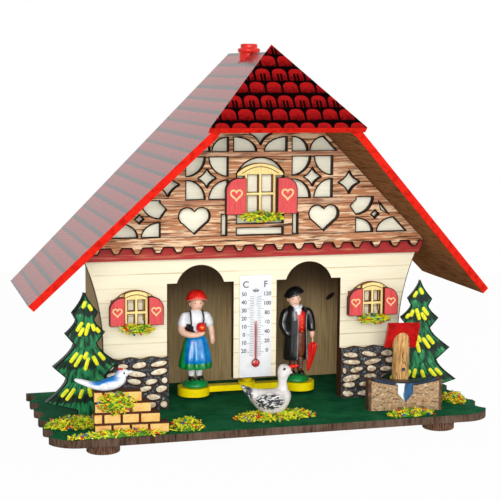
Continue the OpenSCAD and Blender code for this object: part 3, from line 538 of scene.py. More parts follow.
plateSet = {
    "burnt": rgb(72, 40, 24),
    "cream": rgb(247, 238, 210),
    # the gable panel is brighter than the front wall: painted light against the shade in its recess behind
    # the timber
    "gable": rgb(255, 250, 228),
    "creamShade": rgb(233, 219, 178),
    "plankShade": rgb(206, 186, 138),
    "plankPitch": 5.6,
    "plankLine": 0.16,
    "ply": rgb(206, 178, 130),
    "plyDark": rgb(168, 136, 88),
    "plyPale": rgb(222, 196, 148),
    # painted shade inside the house: its colour, and the heights where it begins and is full
    "paintedShade": rgb(62, 44, 26),
    "paintedShadeFrom": (22, 48),
    "knot": rgb(38, 22, 14),
    "knotPlace": (46.6, 35.5),
    "knotHalf": (2.4, 1.0),
    "mortar": rgb(66, 68, 70),
    "mortarDark": rgb(34, 33, 34),
    "mortarSpeck": rgb(168, 176, 184),
    "bandRed": rgb(168, 44, 42),
    "bandDark": rgb(128, 40, 34),
    "bandPale": rgb(196, 112, 84),
    "timber": rgb(188, 128, 88),
    "timberDark": rgb(70, 36, 20),
    "timberPale": rgb(246, 214, 176),
    "beam": rgb(190, 138, 112),
    "beamLine": rgb(52, 28, 18),
    "beams": ((69.9, 1.2), (82.2, 2.2), (101.2, 2.0)),  # height above the floor and width
    "beamLineWidth": 0.35,
    "yellow": rgb(250, 229, 158),
    "yellowShade": rgb(240, 206, 122),
    "shutterRed": rgb(222, 84, 84),
    "shutterDark": rgb(188, 56, 62),
    "shutterPale": rgb(240, 146, 138),
    "green": rgb(20, 106, 68),
    "greenDark": rgb(8, 66, 42),
    "greenPale": rgb(46, 134, 86),
    "edgeBrown": rgb(96, 74, 60),
    "edgeDark": rgb(48, 36, 30),
    "edgePale": rgb(128, 106, 92),
}


def sidingFinish(name, cream, lines):
    finish = newFinish(name, 0.62)
    row = calc("DIVIDE", along(finish, (0, 0, 1)), plateSet["plankPitch"])
    offset = calc("ABSOLUTE", calc("SUBTRACT", calc("FRACT", row), 0.5))
    broken = patches(finish, 4, 0.3, 0.6, (8, 8, 0.6))
    line = times(fade(offset, 0.44, 0.485), broken)
    streak = patches(finish, 0.7, 0.42, 0.75, (24, 1, 1))
    face = blend(streak, 0.4, cream, plateSet["creamShade"])
    face = blend(line, lines, face, plateSet["plankShade"])
    sawnPlate(finish, face, plateSet["burnt"])
    height = calc("MULTIPLY_ADD", line, -lines, times(streak, 0.15))
    return relief(finish, height, plateSet["plankLine"])


def plyFinish():
    # raw plywood, grain upright, with one slanted knot on the back wall
    finish = newFinish("rawPly", 0.75)
    fine = patches(finish, 0.5, 0.35, 0.7, (1, 1, 30))
    broad = patches(finish, 7, 0.3, 0.7, (1, 1, 5))
    face = mixColour(fine, plateSet["ply"], plateSet["plyDark"])
    face = blend(broad, 0.35, face, plateSet["plyPale"])
    # painted shade: the inside, under the arches, darkens higher up on the faces that look forward
    rise = fade(along(finish, (0, 0, 1), (0, 0, floorZ)), *plateSet["paintedShadeFrom"])
    paintedShade = times(rise, fade(facing(finish, (0, -1, 0)), 0.3, 0.6))
    face = blend(paintedShade, 0.9, face, plateSet["paintedShade"])
    knotX, knotZ = plateSet["knotPlace"]
    knotAt = Vector((knotX, 0, 0)) * mm + Vector((0, 0, floorZ + knotZ * mm))
    halfLong, halfAcross = plateSet["knotHalf"]
    lengthways = calc("DIVIDE", along(finish, (0.8, 0, 0.6), knotAt), halfLong)
    across = calc("DIVIDE", along(finish, (-0.6, 0, 0.8), knotAt), halfAcross)
    ring = calc("ADD", square(lengthways), square(across))
    colourBy(finish, fade(ring, 1.5, 0.5), face, plateSet["knot"])
    return relief(finish, fine, 0.06)


def mortarFinish():
    finish = newFinish("stoneMortar", 0.8)
    face = mixColour(patches(finish, 1.6, 0.35, 0.65), plateSet["mortar"], plateSet["mortarDark"])
    face = blend(patches(finish, 0.7, 0.5, 0.72), 0.75, face, plateSet["mortarSpeck"])
    sawnPlate(finish, face, rgb(74, 46, 28))
    return relief(finish, grain(finish, 0.8), 0.2)


def bandFinish():
    finish = newFinish("bandRed", 0.5)
    streak = patches(finish, 0.8, 0.46, 0.7, (14, 1, 1))
    rise = along(finish, (0, 0, 1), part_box("eave_band")[0])
    pale = times(streak, between(rise, 0.8, 2.6, 0.7))
    dark = patches(finish, 2.5, 0.5, 0.75, (6, 1, 1))
    face = blend(dark, 0.6, plateSet["bandRed"], plateSet["bandDark"])
    sawnPlate(finish, mixColour(pale, face, plateSet["bandPale"]), rgb(120, 30, 34))
    return relief(finish, streak, 0.05)


def timberFinish():
    finish = newFinish("timberPrint", 0.6)
    dark = patches(finish, 0.6, 0.51, 0.6, (30, 1, 1))
    pale = patches(finish, 0.9, 0.48, 0.6, (12, 1, 1), 6)
    face = mixColour(dark, plateSet["timber"], plateSet["timberDark"])
    face = blend(pale, 0.85, face, plateSet["timberPale"])
    rise = along(finish, (0, 0, 1), (0, 0, floorZ))
    for low, height in plateSet["beams"]:
        beam = between(rise, low, low + height, 0.2)
        face = blend(beam, 0.4, face, plateSet["beam"])
        line = between(rise, low - plateSet["beamLineWidth"], low, 0.12)
        face = blend(line, 0.8, face, plateSet["beamLine"])
    sawnPlate(finish, face, rgb(44, 24, 14))
    return relief(finish, calc("SUBTRACT", pale, dark), 0.06)


def shutterFinish():
    finish = newFinish("shutterRed", 0.55)
    streak = patches(finish, 0.6, 0.42, 0.7, (1, 1, 12))
    pale = patches(finish, 0.5, 0.6, 0.75, (2, 1, 2))
    face = blend(streak, 0.6, plateSet["shutterRed"], plateSet["shutterDark"])
    face = blend(pale, 0.5, face, plateSet["shutterPale"])
    sawnPlate(finish, face, rgb(92, 40, 28))
    return relief(finish, streak, 0.05)


def windowFinish():
    finish = newFinish("windowYellow", 0.5)
    wood = patches(finish, 0.6, 0.4, 0.72, (1, 1, 10))
    face = mixColour(wood, plateSet["yellow"], plateSet["yellowShade"])
    sawnPlate(finish, face, rgb(126, 82, 38))
    return relief(finish, wood, 0.04)


def floorFinish():
    # stained green ply with a fibrous grain; brown sawn edge with upright marks
    finish = newFinish("greenStain", 0.7, {"Specular IOR Level": 0.03})
    fibre = patches(finish, 0.7, 0.36, 0.7, (9, 1, 1))
    face = mixColour(fibre, plateSet["green"], plateSet["greenDark"])
    face = blend(patches(finish, 9, 0.36, 0.66), 0.45, face, plateSet["greenPale"])
    saw = patches(finish, 0.8, 0.38, 0.68, (1, 1, 9))
    edge = mixColour(saw, plateSet["edgeBrown"], plateSet["edgeDark"])
    edge = blend(patches(finish, 12, 0.4, 0.62), 0.4, edge, plateSet["edgePale"])
    sawnPlate(finish, face, edge, (0, 0, 1))
    return relief(finish, calc("ADD", fibre, saw), 0.07)


beech = twoTone("turnedBeech", 0.6, (rgb(214, 178, 128), rgb(176, 134, 86)), (0.5, 0.45, 0.7, (1, 8, 1)),
                bump=(0, 0.05))
dress(sidingFinish("creamSiding", plateSet["cream"], 0.75), "front_wall")
# the gable panel's cream is brightened, as painted light in the recess behind the timber
dress(sidingFinish("gableCream", plateSet["gable"], 0.0), "gable_panel")
dress(plyFinish(), "left_side_wall", "right_side_wall", "back_wall")
dress(mortarFinish(), "left_stone_facing", "right_stone_facing")
dress(bandFinish(), "eave_band")
dress(timberFinish(), "timber_overlay")
dress(shutterFinish(), *shutters)
dress(windowFinish(), *windows)
dress(floorFinish(), "base_plate")
dress(beech, "ridge_block")
print("weather house: plates finished")


# roof: round-topped tiles printed red on black, bright red edges, brown below

tileSet = {
    "pitch": 6.35,
    "width": 6.55,
    "edge": rgb(222, 38, 26),
    "edgeDark": rgb(184, 26, 18),
    "under": rgb(156, 108, 70),
    "underDark": rgb(108, 70, 42),
    "hip": {
        "red": rgb(168, 24, 24), "redDark": rgb(104, 10, 12), "black": rgb(12, 3, 5),
        "gloss": 0.0, "fill": 0.86, "dome": 0.42, "slits": 1.0, "foot": 0.68, "ragged": 0.4,
    },
    # the side panels' inks are paler than the hip's, as painted sheen of a print seen so flat
    "panel": {
        "red": rgb(190, 46, 40), "redDark": rgb(162, 34, 32), "black": rgb(66, 50, 46),
        "gap": rgb(160, 42, 38), "gloss": 0.9, "fill": 1.25, "dome": 0.3, "slits": 0.0,
        "foot": 0.88, "ragged": 0.1,
    },
}
hipSet = {"slope": 51, "thick": 3.0, "firstRow": 19, "footTop": 3.0, "middle": 0.5}


def tilePrint(finish, across, down, inks):
    # share of red on the print and depth on its tile, from the place across and down the slope in mm
    row = calc("DIVIDE", down, tileSet["pitch"])
    odd = calc("FLOORED_MODULO", calc("FLOOR", row), 2.0)
    column = calc("MULTIPLY_ADD", odd, 0.5, calc("DIVIDE", across, tileSet["width"]))
    side = calc("SUBTRACT", calc("FRACT", column), 0.5)
    depth = calc("FRACT", row)  # 0 at the top of a tile, 1 at its foot
    wide = calc("ABSOLUTE", calc("DIVIDE", side, inks["fill"] / 2))
    drop = calc("DIVIDE", calc("SUBTRACT", 0.52, depth), inks["dome"])
    drop = calc("MAXIMUM", drop, 0.0)
    dome = calc("ADD", calc("POWER", wide, 2.6), calc("POWER", drop, 2.2))
    ragged = calc("MULTIPLY_ADD", grain(finish, 0.6, (1, 1, 1), 2), inks["ragged"], inks["foot"])
    foot = calc("MULTIPLY_ADD", odd, 0.1, ragged)
    shortFoot = fade(calc("SUBTRACT", depth, foot), 0.03, -0.03)
    fromSlit = calc("SUBTRACT", calc("ABSOLUTE", side), 0.1)
    slit = fade(calc("ABSOLUTE", fromSlit), 0.075, 0.05)
    slit = times(slit, fade(depth, 0.42, 0.5))
    slit = times(slit, times(odd, inks["slits"]))
    red = times(fade(dome, 1.06, 0.94), shortFoot)
    return times(red, calc("SUBTRACT", 1.0, slit)), depth


def roofFinish(name, inks, across, down, outward, underGrain):
    # the print is varnished: the side panels shine, seen so flat, and the hip hardly does
    finish = newFinish(name, 0.5, {"Coat Roughness": 0.22, "Coat IOR": 1.6, "Specular IOR Level": 0.0})
    red, depth = tilePrint(finish, across(finish), down(finish), inks)
    worn = calc("MULTIPLY_ADD", grain(finish, 1.2), 1.2, calc("SUBTRACT", depth, 0.6))
    tone = fade(worn, 0.2, 0.95)  # a tile darkens towards its foot
    tiles = mixColour(tone, inks["red"], inks["redDark"])
    # painted sheen: on the side panels the tiles fade into the rows
    if "gap" in inks:  # the rows run together on the side panels, and the tiles in them are faint
        domes = tilePrint(finish, across(finish), down(finish), tileSet["hip"])[0]
        tiles = mixColour(domes, inks["gap"], tiles)
    top = mixColour(red, inks["black"], tiles)
    under = mixColour(patches(finish, 0.8, 0.4, 0.7, underGrain), tileSet["under"], tileSet["underDark"])
    out = outward(finish)
    outside = fade(out, 0.4, 0.6)
    edge = mixColour(patches(finish, 2.5, 0.45, 0.7), tileSet["edge"], tileSet["edgeDark"])
    colourBy(finish, fade(out, -0.4, -0.6), mixColour(outside, edge, top), under)
    wire(finish, "Coat Weight", times(outside, inks["gloss"]))
    return relief(finish, calc("MULTIPLY_ADD", red, 0.6, grain(finish, 0.6)), 0.05)


def dressPanels():
    low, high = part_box("right_roof")
    ridge = Vector((0, 0, high.z))
    pitch = math.atan2(high.z - low.z, high.x - low.x)  # close to the slope of the panels
    sine, cosine = math.sin(pitch), math.cos(pitch)

    def across(finish):
        return along(finish, (0, 1, 0))

    def down(finish):
        fromMiddle = calc("ABSOLUTE", along(finish, (1, 0, 0)))
        return calc("MULTIPLY_ADD", fromMiddle, cosine, along(finish, (0, 0, -sine), ridge))

    def outward(finish):
        side = calc("SIGN", along(finish, (1, 0, 0)))
        sideways = times(side, facing(finish, (sine, 0, 0)))
        return calc("ADD", sideways, facing(finish, (0, 0, cosine)))

    panels = roofFinish("roofPrint", tileSet["panel"], across, down, outward, (1, 12, 1))
    dress(panels, "left_roof", "right_roof")


def dressHip():
    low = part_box("hip_panel")[0]
    slope = math.radians(hipSet["slope"])
    sine, cosine = math.sin(slope), math.cos(slope)
    foot = Vector((0, low.y, low.z + hipSet["thick"] * cosine * mm))  # lower edge of the outer face
    rowsAbove = hipSet["firstRow"] * tileSet["pitch"] + hipSet["footTop"]

    def across(finish):
        return along(finish, (1, 0, 0), (hipSet["middle"] * mm, 0, 0))

    def down(finish):
        return calc("ADD", along(finish, (0, -cosine, -sine), foot), rowsAbove)

    def outward(finish):
        return facing(finish, (0, -sine, cosine))

    dress(roofFinish("hipPrint", tileSet["hip"], across, down, outward, (12, 1, 1)), "hip_panel")


dressPanels()
dressHip()
print("weather house: roof finished")


# chimney: a turned, lacquered knob with a collar and a round-edged cap

chimneySet = {"shank": 4.0, "collar": 4.6, "collarHeight": 1.7, "cap": 3.5, "capHeight": 1.8, "round": 0.35}


def addChimney():
    low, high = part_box("chimney")
    middle = (low + high) / 2 / mm
    foot, top = low.z / mm, high.z / mm
    collarTop = top - chimneySet["capHeight"]
    collarFoot = collarTop - chimneySet["collarHeight"]
    shank, collar, cap, soft = (chimneySet[key] for key in ("shank", "collar", "cap", "round"))
    profile = [(foot, shank - soft), (foot + soft, shank), (collarFoot - soft, shank), (collarFoot, shank),
               (collarFoot, collar - soft), (collarFoot + soft, collar), (collarTop - soft, collar),
               (collarTop, collar - soft), (collarTop, cap), (collarTop + soft, cap - 0.1),
               (top - soft, cap), (top, cap - soft), (top, cap * 0.5), (top, 0.3)]
    chimney = turned(profile, 32, middle.x, middle.y)
    finish = glossPaint("chimneyRed", rgb(238, 42, 22), rgb(208, 24, 16), 0.3, 0.2)
    finishPiece(paint(chimney, finish), "turned_chimney", "adjuster", ["chimney"])


addChimney()
print("weather house: chimney done")


# scorched lines that the saw and the burner left round the front of the cut plates; the timber's are drawn
# thick, partly as painted shadow under its teeth and cut-outs

lineSet = {
    "facing": 0.9,
    "turned": 0.5,
    "arcRadius": 0.17,
    # slot, radius, colour and plates of each piece
    # thick: burnt edge and painted shadow under the teeth and the cut-outs
    "timber_lines_and_shadow": ("timber_brown", 0.31, rgb(40, 20, 12), ("timber_overlay",)),
    "window_lines": ("frame_yellow", 0.17, rgb(140, 94, 48), windows),
    "shutter_lines": ("shutter_red", 0.17, rgb(86, 34, 26), shutters),
    "door_lines": ("wall_cream", 0.17, rgb(84, 52, 32), ("front_wall",)),
    "tree_lines": ("tree_green", 0.3, rgb(14, 30, 22), ("left_tree", "right_tree")),
}
arcSet = {  # half width, height above the floor and rise of the arc on a window's head
    "attic_window": (7.6, 94.5, 2.7),
    "left_window": (4.5, 45.7, 1.3),
    "right_window": (4.5, 45.7, 1.3),
}


def rimLine(node, radius):
    # a thin rod along every edge between the front of a plate and its cut sides
    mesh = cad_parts[node].data.copy()
    line = bpy.data.objects.new(node + "_line", mesh)
    bpy.context.scene.collection.objects.link(line)
    line.data.materials.clear()
    weld(line)
    turns = {}
    for face in line.data.polygons:
        for key in face.edge_keys:
            turns.setdefault(key, []).append(-face.normal.y)
    rim = {key for key, sides in turns.items()
           if max(sides) > lineSet["facing"] and min(sides) < lineSet["turned"]}
    bpy.ops.object.mode_set(mode="EDIT")
    bpy.ops.mesh.select_mode(type="FACE")
    bpy.ops.mesh.select_all(action="SELECT")
    bpy.ops.mesh.delete(type="ONLY_FACE")
    bpy.ops.mesh.select_mode(type="EDGE")
    bpy.ops.mesh.select_all(action="DESELECT")
    bpy.ops.object.mode_set(mode="OBJECT")
    for edge in line.data.edges:
        edge.select = edge.key not in rim
    bpy.ops.object.mode_set(mode="EDIT")
    bpy.ops.mesh.delete(type="EDGE")
    bpy.ops.object.mode_set(mode="OBJECT")
    bpy.ops.object.convert(target="CURVE")
    curve = bpy.context.object.data
    curve.bevel_depth = radius * mm
    curve.bevel_resolution = 1
    curve.use_fill_caps = True
    bpy.ops.object.convert(target="MESH")
    return smooth(weld(bpy.context.object))


def arcLine(node):
    # a dark arc along the head of a window
    low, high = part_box(node)
    half, foot, rise = arcSet[node]
    middle = (low.x + high.x) / 2 / mm
    radius = lineSet["arcRadius"]
    arc = [(middle + half * share, low.y / mm, foot + rise * (1 - share * share) + floorMm, radius)
           for share in (-1, -0.6, -0.2, 0.2, 0.6, 1)]
    return limb(arc, 2)


def addLines(name):
    slot, radius, colour, nodes = lineSet[name]
    colours = (colour, darker(colour, 0.5))
    finish = twoTone(name + "_scorch", 0.75, colours, (0.8, 0.4, 0.7), bump=(0.5, 0.04))
    arcs = [arcLine(node) for node in nodes if node in arcSet]
    lines = joinAll([rimLine(node, radius) for node in nodes] + arcs)
    finishPiece(paint(lines, finish), name)


for lineName in ("timber_lines_and_shadow", "window_lines", "shutter_lines", "door_lines", "tree_lines"):
    addLines(lineName)
print("weather house: scorched lines done")


# feet with ribbed rims

feetSet = {
    "radius": 6.35,
    "ribs": 44,
    "ribHeight": 0.28,
    "ribGap": 0.14,
    "rim": 0.5,
    "hollow": 0.3,
    "patch": (0.8, 0.35, 0.68, (1, 1, 4)),
    "brown": (rgb(112, 80, 60), rgb(56, 36, 26)),
    "worn": (rgb(166, 124, 92), rgb(120, 84, 60)),
}


def addFeet():
    low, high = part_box("feet")
    height = (high.z - low.z) / mm
    radius = feetSet["radius"]
    faces = 2 * feetSet["ribs"]
    startFresh()
    bpy.ops.mesh.primitive_cylinder_add(vertices=faces, radius=(radius - feetSet["ribHeight"]) * mm,
                                        depth=height * mm, location=(0, 0, height / 2 * mm))
    foot = applyPlace(bpy.context.object)
    step = 2 * math.pi / faces

    def isRib(middle, normal):
        if abs(normal.z) > 0.5:
            return False
        return round((math.atan2(normal.y, normal.x) - step / 2) / step) % 2 == 0

    selectFaces(foot, isRib)
    ribGap, ribHeight = feetSet["ribGap"] * mm, feetSet["ribHeight"] * mm
    bpy.ops.mesh.inset(thickness=ribGap, depth=ribHeight, use_individual=True)
    bpy.ops.object.mode_set(mode="OBJECT")
    selectFaces(foot, lambda middle, normal: normal.z < -0.9)
    for depth in (0, -feetSet["hollow"] * mm):
        bpy.ops.mesh.inset(thickness=feetSet["rim"] * mm, depth=depth)
    bpy.ops.object.mode_set(mode="OBJECT")
    smooth(foot, 30)

    brown = twoTone("footBrown", 0.55, feetSet["brown"], feetSet["patch"], bump=(0, 0.05))
    worn = twoTone("footRibs", 0.55, feetSet["worn"], feetSet["patch"], bump=(0, 0.05))
    paint(foot, brown).data.materials.append(worn)
    for face in foot.data.polygons:
        face.material_index = int(math.hypot(face.center.x, face.center.y) / mm > radius - 0.1)
    inset = radius * mm
    feet = [applyPlace(copyOf(foot), (x, y, low.z)) for x in (low.x + inset, high.x - inset)
            for y in (low.y + inset, high.y - inset)]
    remove(foot)
    finishPiece(joinAll(feet), "ribbed_feet", nodes=["feet"])


addFeet()
print("weather house: feet done")


# pebbles on the two stone facings

stoneSet = {
    "rows": 6,
    "pitch": 3.3,
    "height": 2.45,
    "lengths": (4.2, 5.0, 5.8, 6.8, 7.8),
    "shortest": 1.6,
    "gap": 1.6,
    "slim": 0.16,
    "bulge": 0.6,
    # the dark rim round each pebble: partly its printed outline, partly painted shadow, set lower and to the
    # right
    "rim": 0.55,
    "rimBulge": 0.28,
    "rimShadowDrop": 0.22,
    "margin": 0.6,
    "seed": 11,
    "left": (rgb(252, 244, 222), rgb(230, 196, 152)),
    # the right pebbles go darker brown: partly a browner glaze, partly painted shade from the well post
    "right": (rgb(246, 234, 208), rgb(168, 128, 90)),
}


def addStones():
    dice = random.Random(stoneSet["seed"])
    # dark rim of the pebbles: printed outline and painted shadow below and to the right
    rim = twoTone("pebbleRimAndShadow", 0.7, (rgb(84, 52, 30), rgb(26, 16, 12)), (0.6, 0.4, 0.65))
    model = ball(0, 0, 0, 1, 1, 1, 16)
    for vertex in model.data.vertices:  # one end of a pebble is a little slimmer
        vertex.co.z *= 1 - stoneSet["slim"] * vertex.co.x / mm
    for side in ("left", "right"):
        pebble = twoTone(side + "Pebble", 0.5, stoneSet[side], (1.6, 0.4, 0.68), bump=(0.5, 0.05))
        layers = ((rim, stoneSet["rim"], stoneSet["rimBulge"], stoneSet["rimShadowDrop"]),
                  (pebble, 0, stoneSet["bulge"], 0))
        low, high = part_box(side + "_stone_facing")
        left, right = low.x / mm + stoneSet["margin"], high.x / mm - stoneSet["margin"]
        parts = []
        for row in range(stoneSet["rows"]):
            z = low.z / mm + stoneSet["pitch"] * (row + 0.6)
            x = left - (row % 2) * 2.6 * dice.random()
            while x <= right:
                length = dice.choice(stoneSet["lengths"])
                start, end = max(x, left), min(x + length, right)
                x += length + stoneSet["gap"]
                if end - start <= stoneSet["shortest"]:
                    continue
                half, tall = (end - start) / 2, stoneSet["height"] / 2 * dice.uniform(0.85, 1.1)
                tilt, lift = dice.uniform(-12, 12), dice.uniform(-0.3, 0.3)
                flip = dice.choice((-1, 1))
                for finish, grow, bulge, drop in layers:
                    stone = paint(copyOf(model), finish)
                    # the rim is moved down and to the right, as painted shadow
                    centre = Vector(((start + end) / 2 + drop * 0.6, low.y / mm, z + lift - drop)) * mm
                    size = (flip * (half + grow), bulge, tall + grow * 0.75)
                    parts.append(applyPlace(stone, centre, (0, tilt, 0), size))
        finishPiece(smooth(weld(joinAll(parts))), side + "_pebbles")
    remove(model)


addStones()
print("weather house: pebbles done")


# heart outlines on the shutters

heartSet = {
    "attic": {"width": 4.6, "line": 0.34, "lift": 0.5},
    "lower": {"width": 3.5, "line": 0.29, "lift": -0.3},
    "points": 36,
    "flat": 0.5,
    "colours": (rgb(255, 216, 160), rgb(242, 184, 120)),
}


def heartPoint(turn, scale):
    # the usual heart curve, which is 32 wide
    x = 16 * math.sin(turn) ** 3
    z = 13 * math.cos(turn) - 5 * math.cos(2 * turn) - 2 * math.cos(3 * turn) - math.cos(4 * turn)
    return (x * scale * mm, 0, (z + 2) * scale * mm, 1)


def addHearts():
    finish = twoTone("heartCream", 0.5, heartSet["colours"], (0.6, 0.4, 0.7))
    count = heartSet["points"]
    parts = []
    for node in shutters:
        low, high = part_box(node)
        size = heartSet["attic" if node.startswith("attic") else "lower"]
        route = [heartPoint(2 * math.pi * (i + 0.5) / count, size["width"] / 32) for i in range(count)]
        spline = newRod("POLY", route, size["line"] * mm, 2)[1]
        spline.use_cyclic_u = True
        bpy.ops.object.convert(target="MESH")
        heart = applyPlace(weld(bpy.context.object), scale=(1, heartSet["flat"], 1))
        centre = Vector(((low.x + high.x) / 2, low.y, (low.z + high.z) / 2 + size["lift"] * mm))
        parts.append(paint(applyPlace(heart, centre), finish))
    finishPiece(smooth(joinAll(parts)), "shutter_hearts")


addHearts()
print("weather house: hearts done")


# thermometer: printed card, glass tube with its bulb, red spirit

scaleSet = {
    "tickLow": 19.6,
    "tickHigh": 44.0,
    "ticks": 35,
    "tickWidth": 0.14,
    "tickInner": 0.8,
    "tickOuter": 2.4,
    "longTick": 3.4,
    "letterSize": 3.7,
    "letterZ": 48.9,
    "letterX": 4.2,
    "numberSize": 2.2,
    "numberX": 4.9,
    "celsius": ("20", "10", "0", "10", "20", "30", "40", "50"),
    "fahrenheit": ("0", "20", "40", "60", "80", "100", "120"),
    "numberLow": 21.6,
    "numberHigh": 45.0,
    "printHeight": 0.05,
    "bold": 0.05,
    "spiritTop": 34.3,
    "spiritBulb": 0.9,
    "bore": 0.22,
    "clipZ": 46.6,
}


def writeText(text, size, x, front, z):
    startFresh()
    bpy.ops.object.text_add()
    obj = bpy.context.object
    obj.data.body = text
    obj.data.size = size * mm
    obj.data.align_x = obj.data.align_y = "CENTER"
    obj.data.extrude = scaleSet["printHeight"] * mm
    obj.data.offset = scaleSet["bold"] * mm
    bpy.ops.object.convert(target="MESH")
    obj = applyPlace(bpy.context.object, turn=(90, 0, 0))
    return applyPlace(obj, (x * mm, front * mm, z * mm + floorZ))


def addScale(front):
    ink = twoTone("scaleInk", 0.55, (rgb(74, 78, 82), rgb(120, 124, 128)), (0.4, 0.45, 0.75))
    prints = []
    span = scaleSet["tickHigh"] - scaleSet["tickLow"]
    inner, deep = scaleSet["tickInner"], 2 * scaleSet["printHeight"]
    for i in range(scaleSet["ticks"]):
        z = scaleSet["tickLow"] + span * i / (scaleSet["ticks"] - 1) + floorMm
        outer = scaleSet["longTick"] if i % 5 == 2 else scaleSet["tickOuter"]
        for side in (-1, 1):
            middle = side * (outer + inner) / 2
            prints.append(block(middle, front, z, outer - inner, deep, scaleSet["tickWidth"], 0.02))
    for side, letter, numbers in ((-1, "C", scaleSet["celsius"]), (1, "F", scaleSet["fahrenheit"])):
        prints.append(writeText(letter, scaleSet["letterSize"], side * scaleSet["letterX"], front,
                                scaleSet["letterZ"]))
        step = (scaleSet["numberHigh"] - scaleSet["numberLow"]) / (len(numbers) - 1)
        for i, number in enumerate(numbers):
            prints.append(writeText(number, scaleSet["numberSize"], side * scaleSet["numberX"], front,
                                    scaleSet["numberLow"] + step * i))
    finishPiece(joinPainted([(part, ink) for part in prints]), "thermometer_scale")


def addTube(front):
    low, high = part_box("thermometer_tube")
    radius = (high.y - low.y) / 2 / mm
    bulb = (high.x - low.x) / 2 / mm
    middleY = (low.y + high.y) / 2 / mm
    bulbZ = low.z / mm + bulb

    def tube(bulbRadius, boreRadius, top):
        # the bulb lies on the card, so it is as deep as the tube and as wide as itself
        drop = ball(0, middleY, bulbZ, bulbRadius, radius * bulbRadius / bulb, bulbRadius)
        heights = (bulbZ, (bulbZ + top) / 2, top - boreRadius * 0.6)
        return joinAll([drop, limb([(0, middleY, z, boreRadius) for z in heights])])

    glass = twoTone("tubeGlass", 0.05, (rgb(250, 252, 252), rgb(240, 246, 246)), (2, 0.4, 0.7),
                    {"Transmission Weight": 1.0, "IOR": 1.45})
    tin = twoTone("clipTin", 0.35, (rgb(150, 152, 156), rgb(104, 106, 112)), (0.8, 0.4, 0.7),
                  {"Metallic": 0.8})
    spirit = glossPaint("redSpirit", rgb(226, 66, 62), rgb(206, 40, 42), 0.15, 0.5)
    case = tube(bulb, radius, high.z / mm)
    finishPiece(paint(case, glass), "thermometer_glass", nodes=["thermometer_tube"])
    column = tube(bulb * scaleSet["spiritBulb"], scaleSet["bore"], scaleSet["spiritTop"] + floorMm)
    finishPiece(paint(column, spirit), "thermometer_spirit")
    clipZ, over = scaleSet["clipZ"] + floorMm, low.y / mm - 0.1
    clip = limb([(-1.1, front, clipZ, 0.3), (-0.7, over, clipZ, 0.34), (0.7, over, clipZ, 0.34),
                 (1.1, front, clipZ, 0.3)])
    finishPiece(paint(clip, tin), "thermometer_clip")


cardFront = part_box("thermometer_card")[0].y / mm
dress(twoTone("cardWhite", 0.35, (rgb(244, 245, 247), rgb(232, 234, 238)), (6, 0.35, 0.7), bump=(0.8, 0.02)),
      "thermometer_card")
addScale(cardFront)
addTube(cardFront)
print("weather house: thermometer done")


# figures on the arm

skin = glossPaint("figureSkin", rgb(250, 206, 180), rgb(238, 182, 154), 0.35, 0.25)
mossGreen = glossPaint("moundGreen", rgb(22, 148, 72), rgb(10, 108, 50))
white = glossPaint("figureWhite", rgb(246, 246, 248), rgb(226, 228, 234))
black = glossPaint("figureBlack", rgb(20, 20, 22), rgb(10, 10, 12), 0.5, 1.0, blur=0.04)
hatRed = glossPaint("hatRed", rgb(238, 44, 32), rgb(210, 22, 20))
eyeBrown = glossPaint("eyeBrown", rgb(66, 42, 30), rgb(44, 28, 20))
eyeGrey = glossPaint("eyeGrey", rgb(60, 64, 70), rgb(36, 38, 42), 0.2, 0.5)
lipRose = glossPaint("lipRose", rgb(204, 96, 88), rgb(188, 80, 74))
hairBrown = glossPaint("hairBrown", rgb(98, 62, 36), rgb(70, 42, 24))
dress(glossPaint("armYellow", rgb(255, 236, 8), rgb(255, 222, 2), 0.25, 0.4), "figure_arm")

armLow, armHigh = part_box("figure_arm")
discRadius = (armHigh.y - armLow.y) / 2
pivotY = (armLow.y + armHigh.y) / 2
discs = {"woman": Vector((armLow.x + discRadius, pivotY, floorZ)),
         "man": Vector((armHigh.x - discRadius, pivotY, floorZ))}
dollSet = {
    "mound": [(5.15, 5.3), (5.7, 5.6), (6.9, 5.1), (7.8, 4.2), (8.2, 2.6), (8.3, 0.5)],
    "shoeX": 1.9,
    "shoe": [(-1.1, 7.9, 1.3, 2.0), (-1.1, 8.5, 1.5, 2.3), (-0.9, 9.2, 1.3, 1.8), (-0.3, 9.8, 0.9, 1.1)],
    "legRadius": 1.45,
    # y in mm, then height, half width and half depth in shares of the head's size
    "head": [(-0.15, -1.08, 0.3, 0.3), (-0.15, -0.92, 0.58, 0.6), (-0.1, -0.5, 0.84, 0.86),
             (0, 0, 0.95, 0.98), (0, 0.5, 0.88, 0.92), (0, 0.9, 0.5, 0.55), (0, 1, 0.2, 0.2)],
}


def standOn(legX, legTop, legFinish):
    # the lumpy, hand-dipped mound, two black shoes and two legs
    mound = ripple(turned(dollSet["mound"]),
                   lambda angle, z: 1 + 0.03 * math.sin(3 * angle + 1) + 0.02 * math.sin(7 * angle))
    parts = [(mound, mossGreen)]
    radius = dollSet["legRadius"]
    for side in (-1, 1):
        shoeX = side * dollSet["shoeX"]
        shoe = loft([(shoeX, y, z, wide, deep) for y, z, wide, deep in dollSet["shoe"]], 16)
        leg = limb([(side * legX, 0, 9.2, radius * 0.8), (side * legX, 0, 11.6, radius),
                    (side * legX, 0, legTop, radius)])
        parts += [(shoe, black), (leg, legFinish)]
    return parts


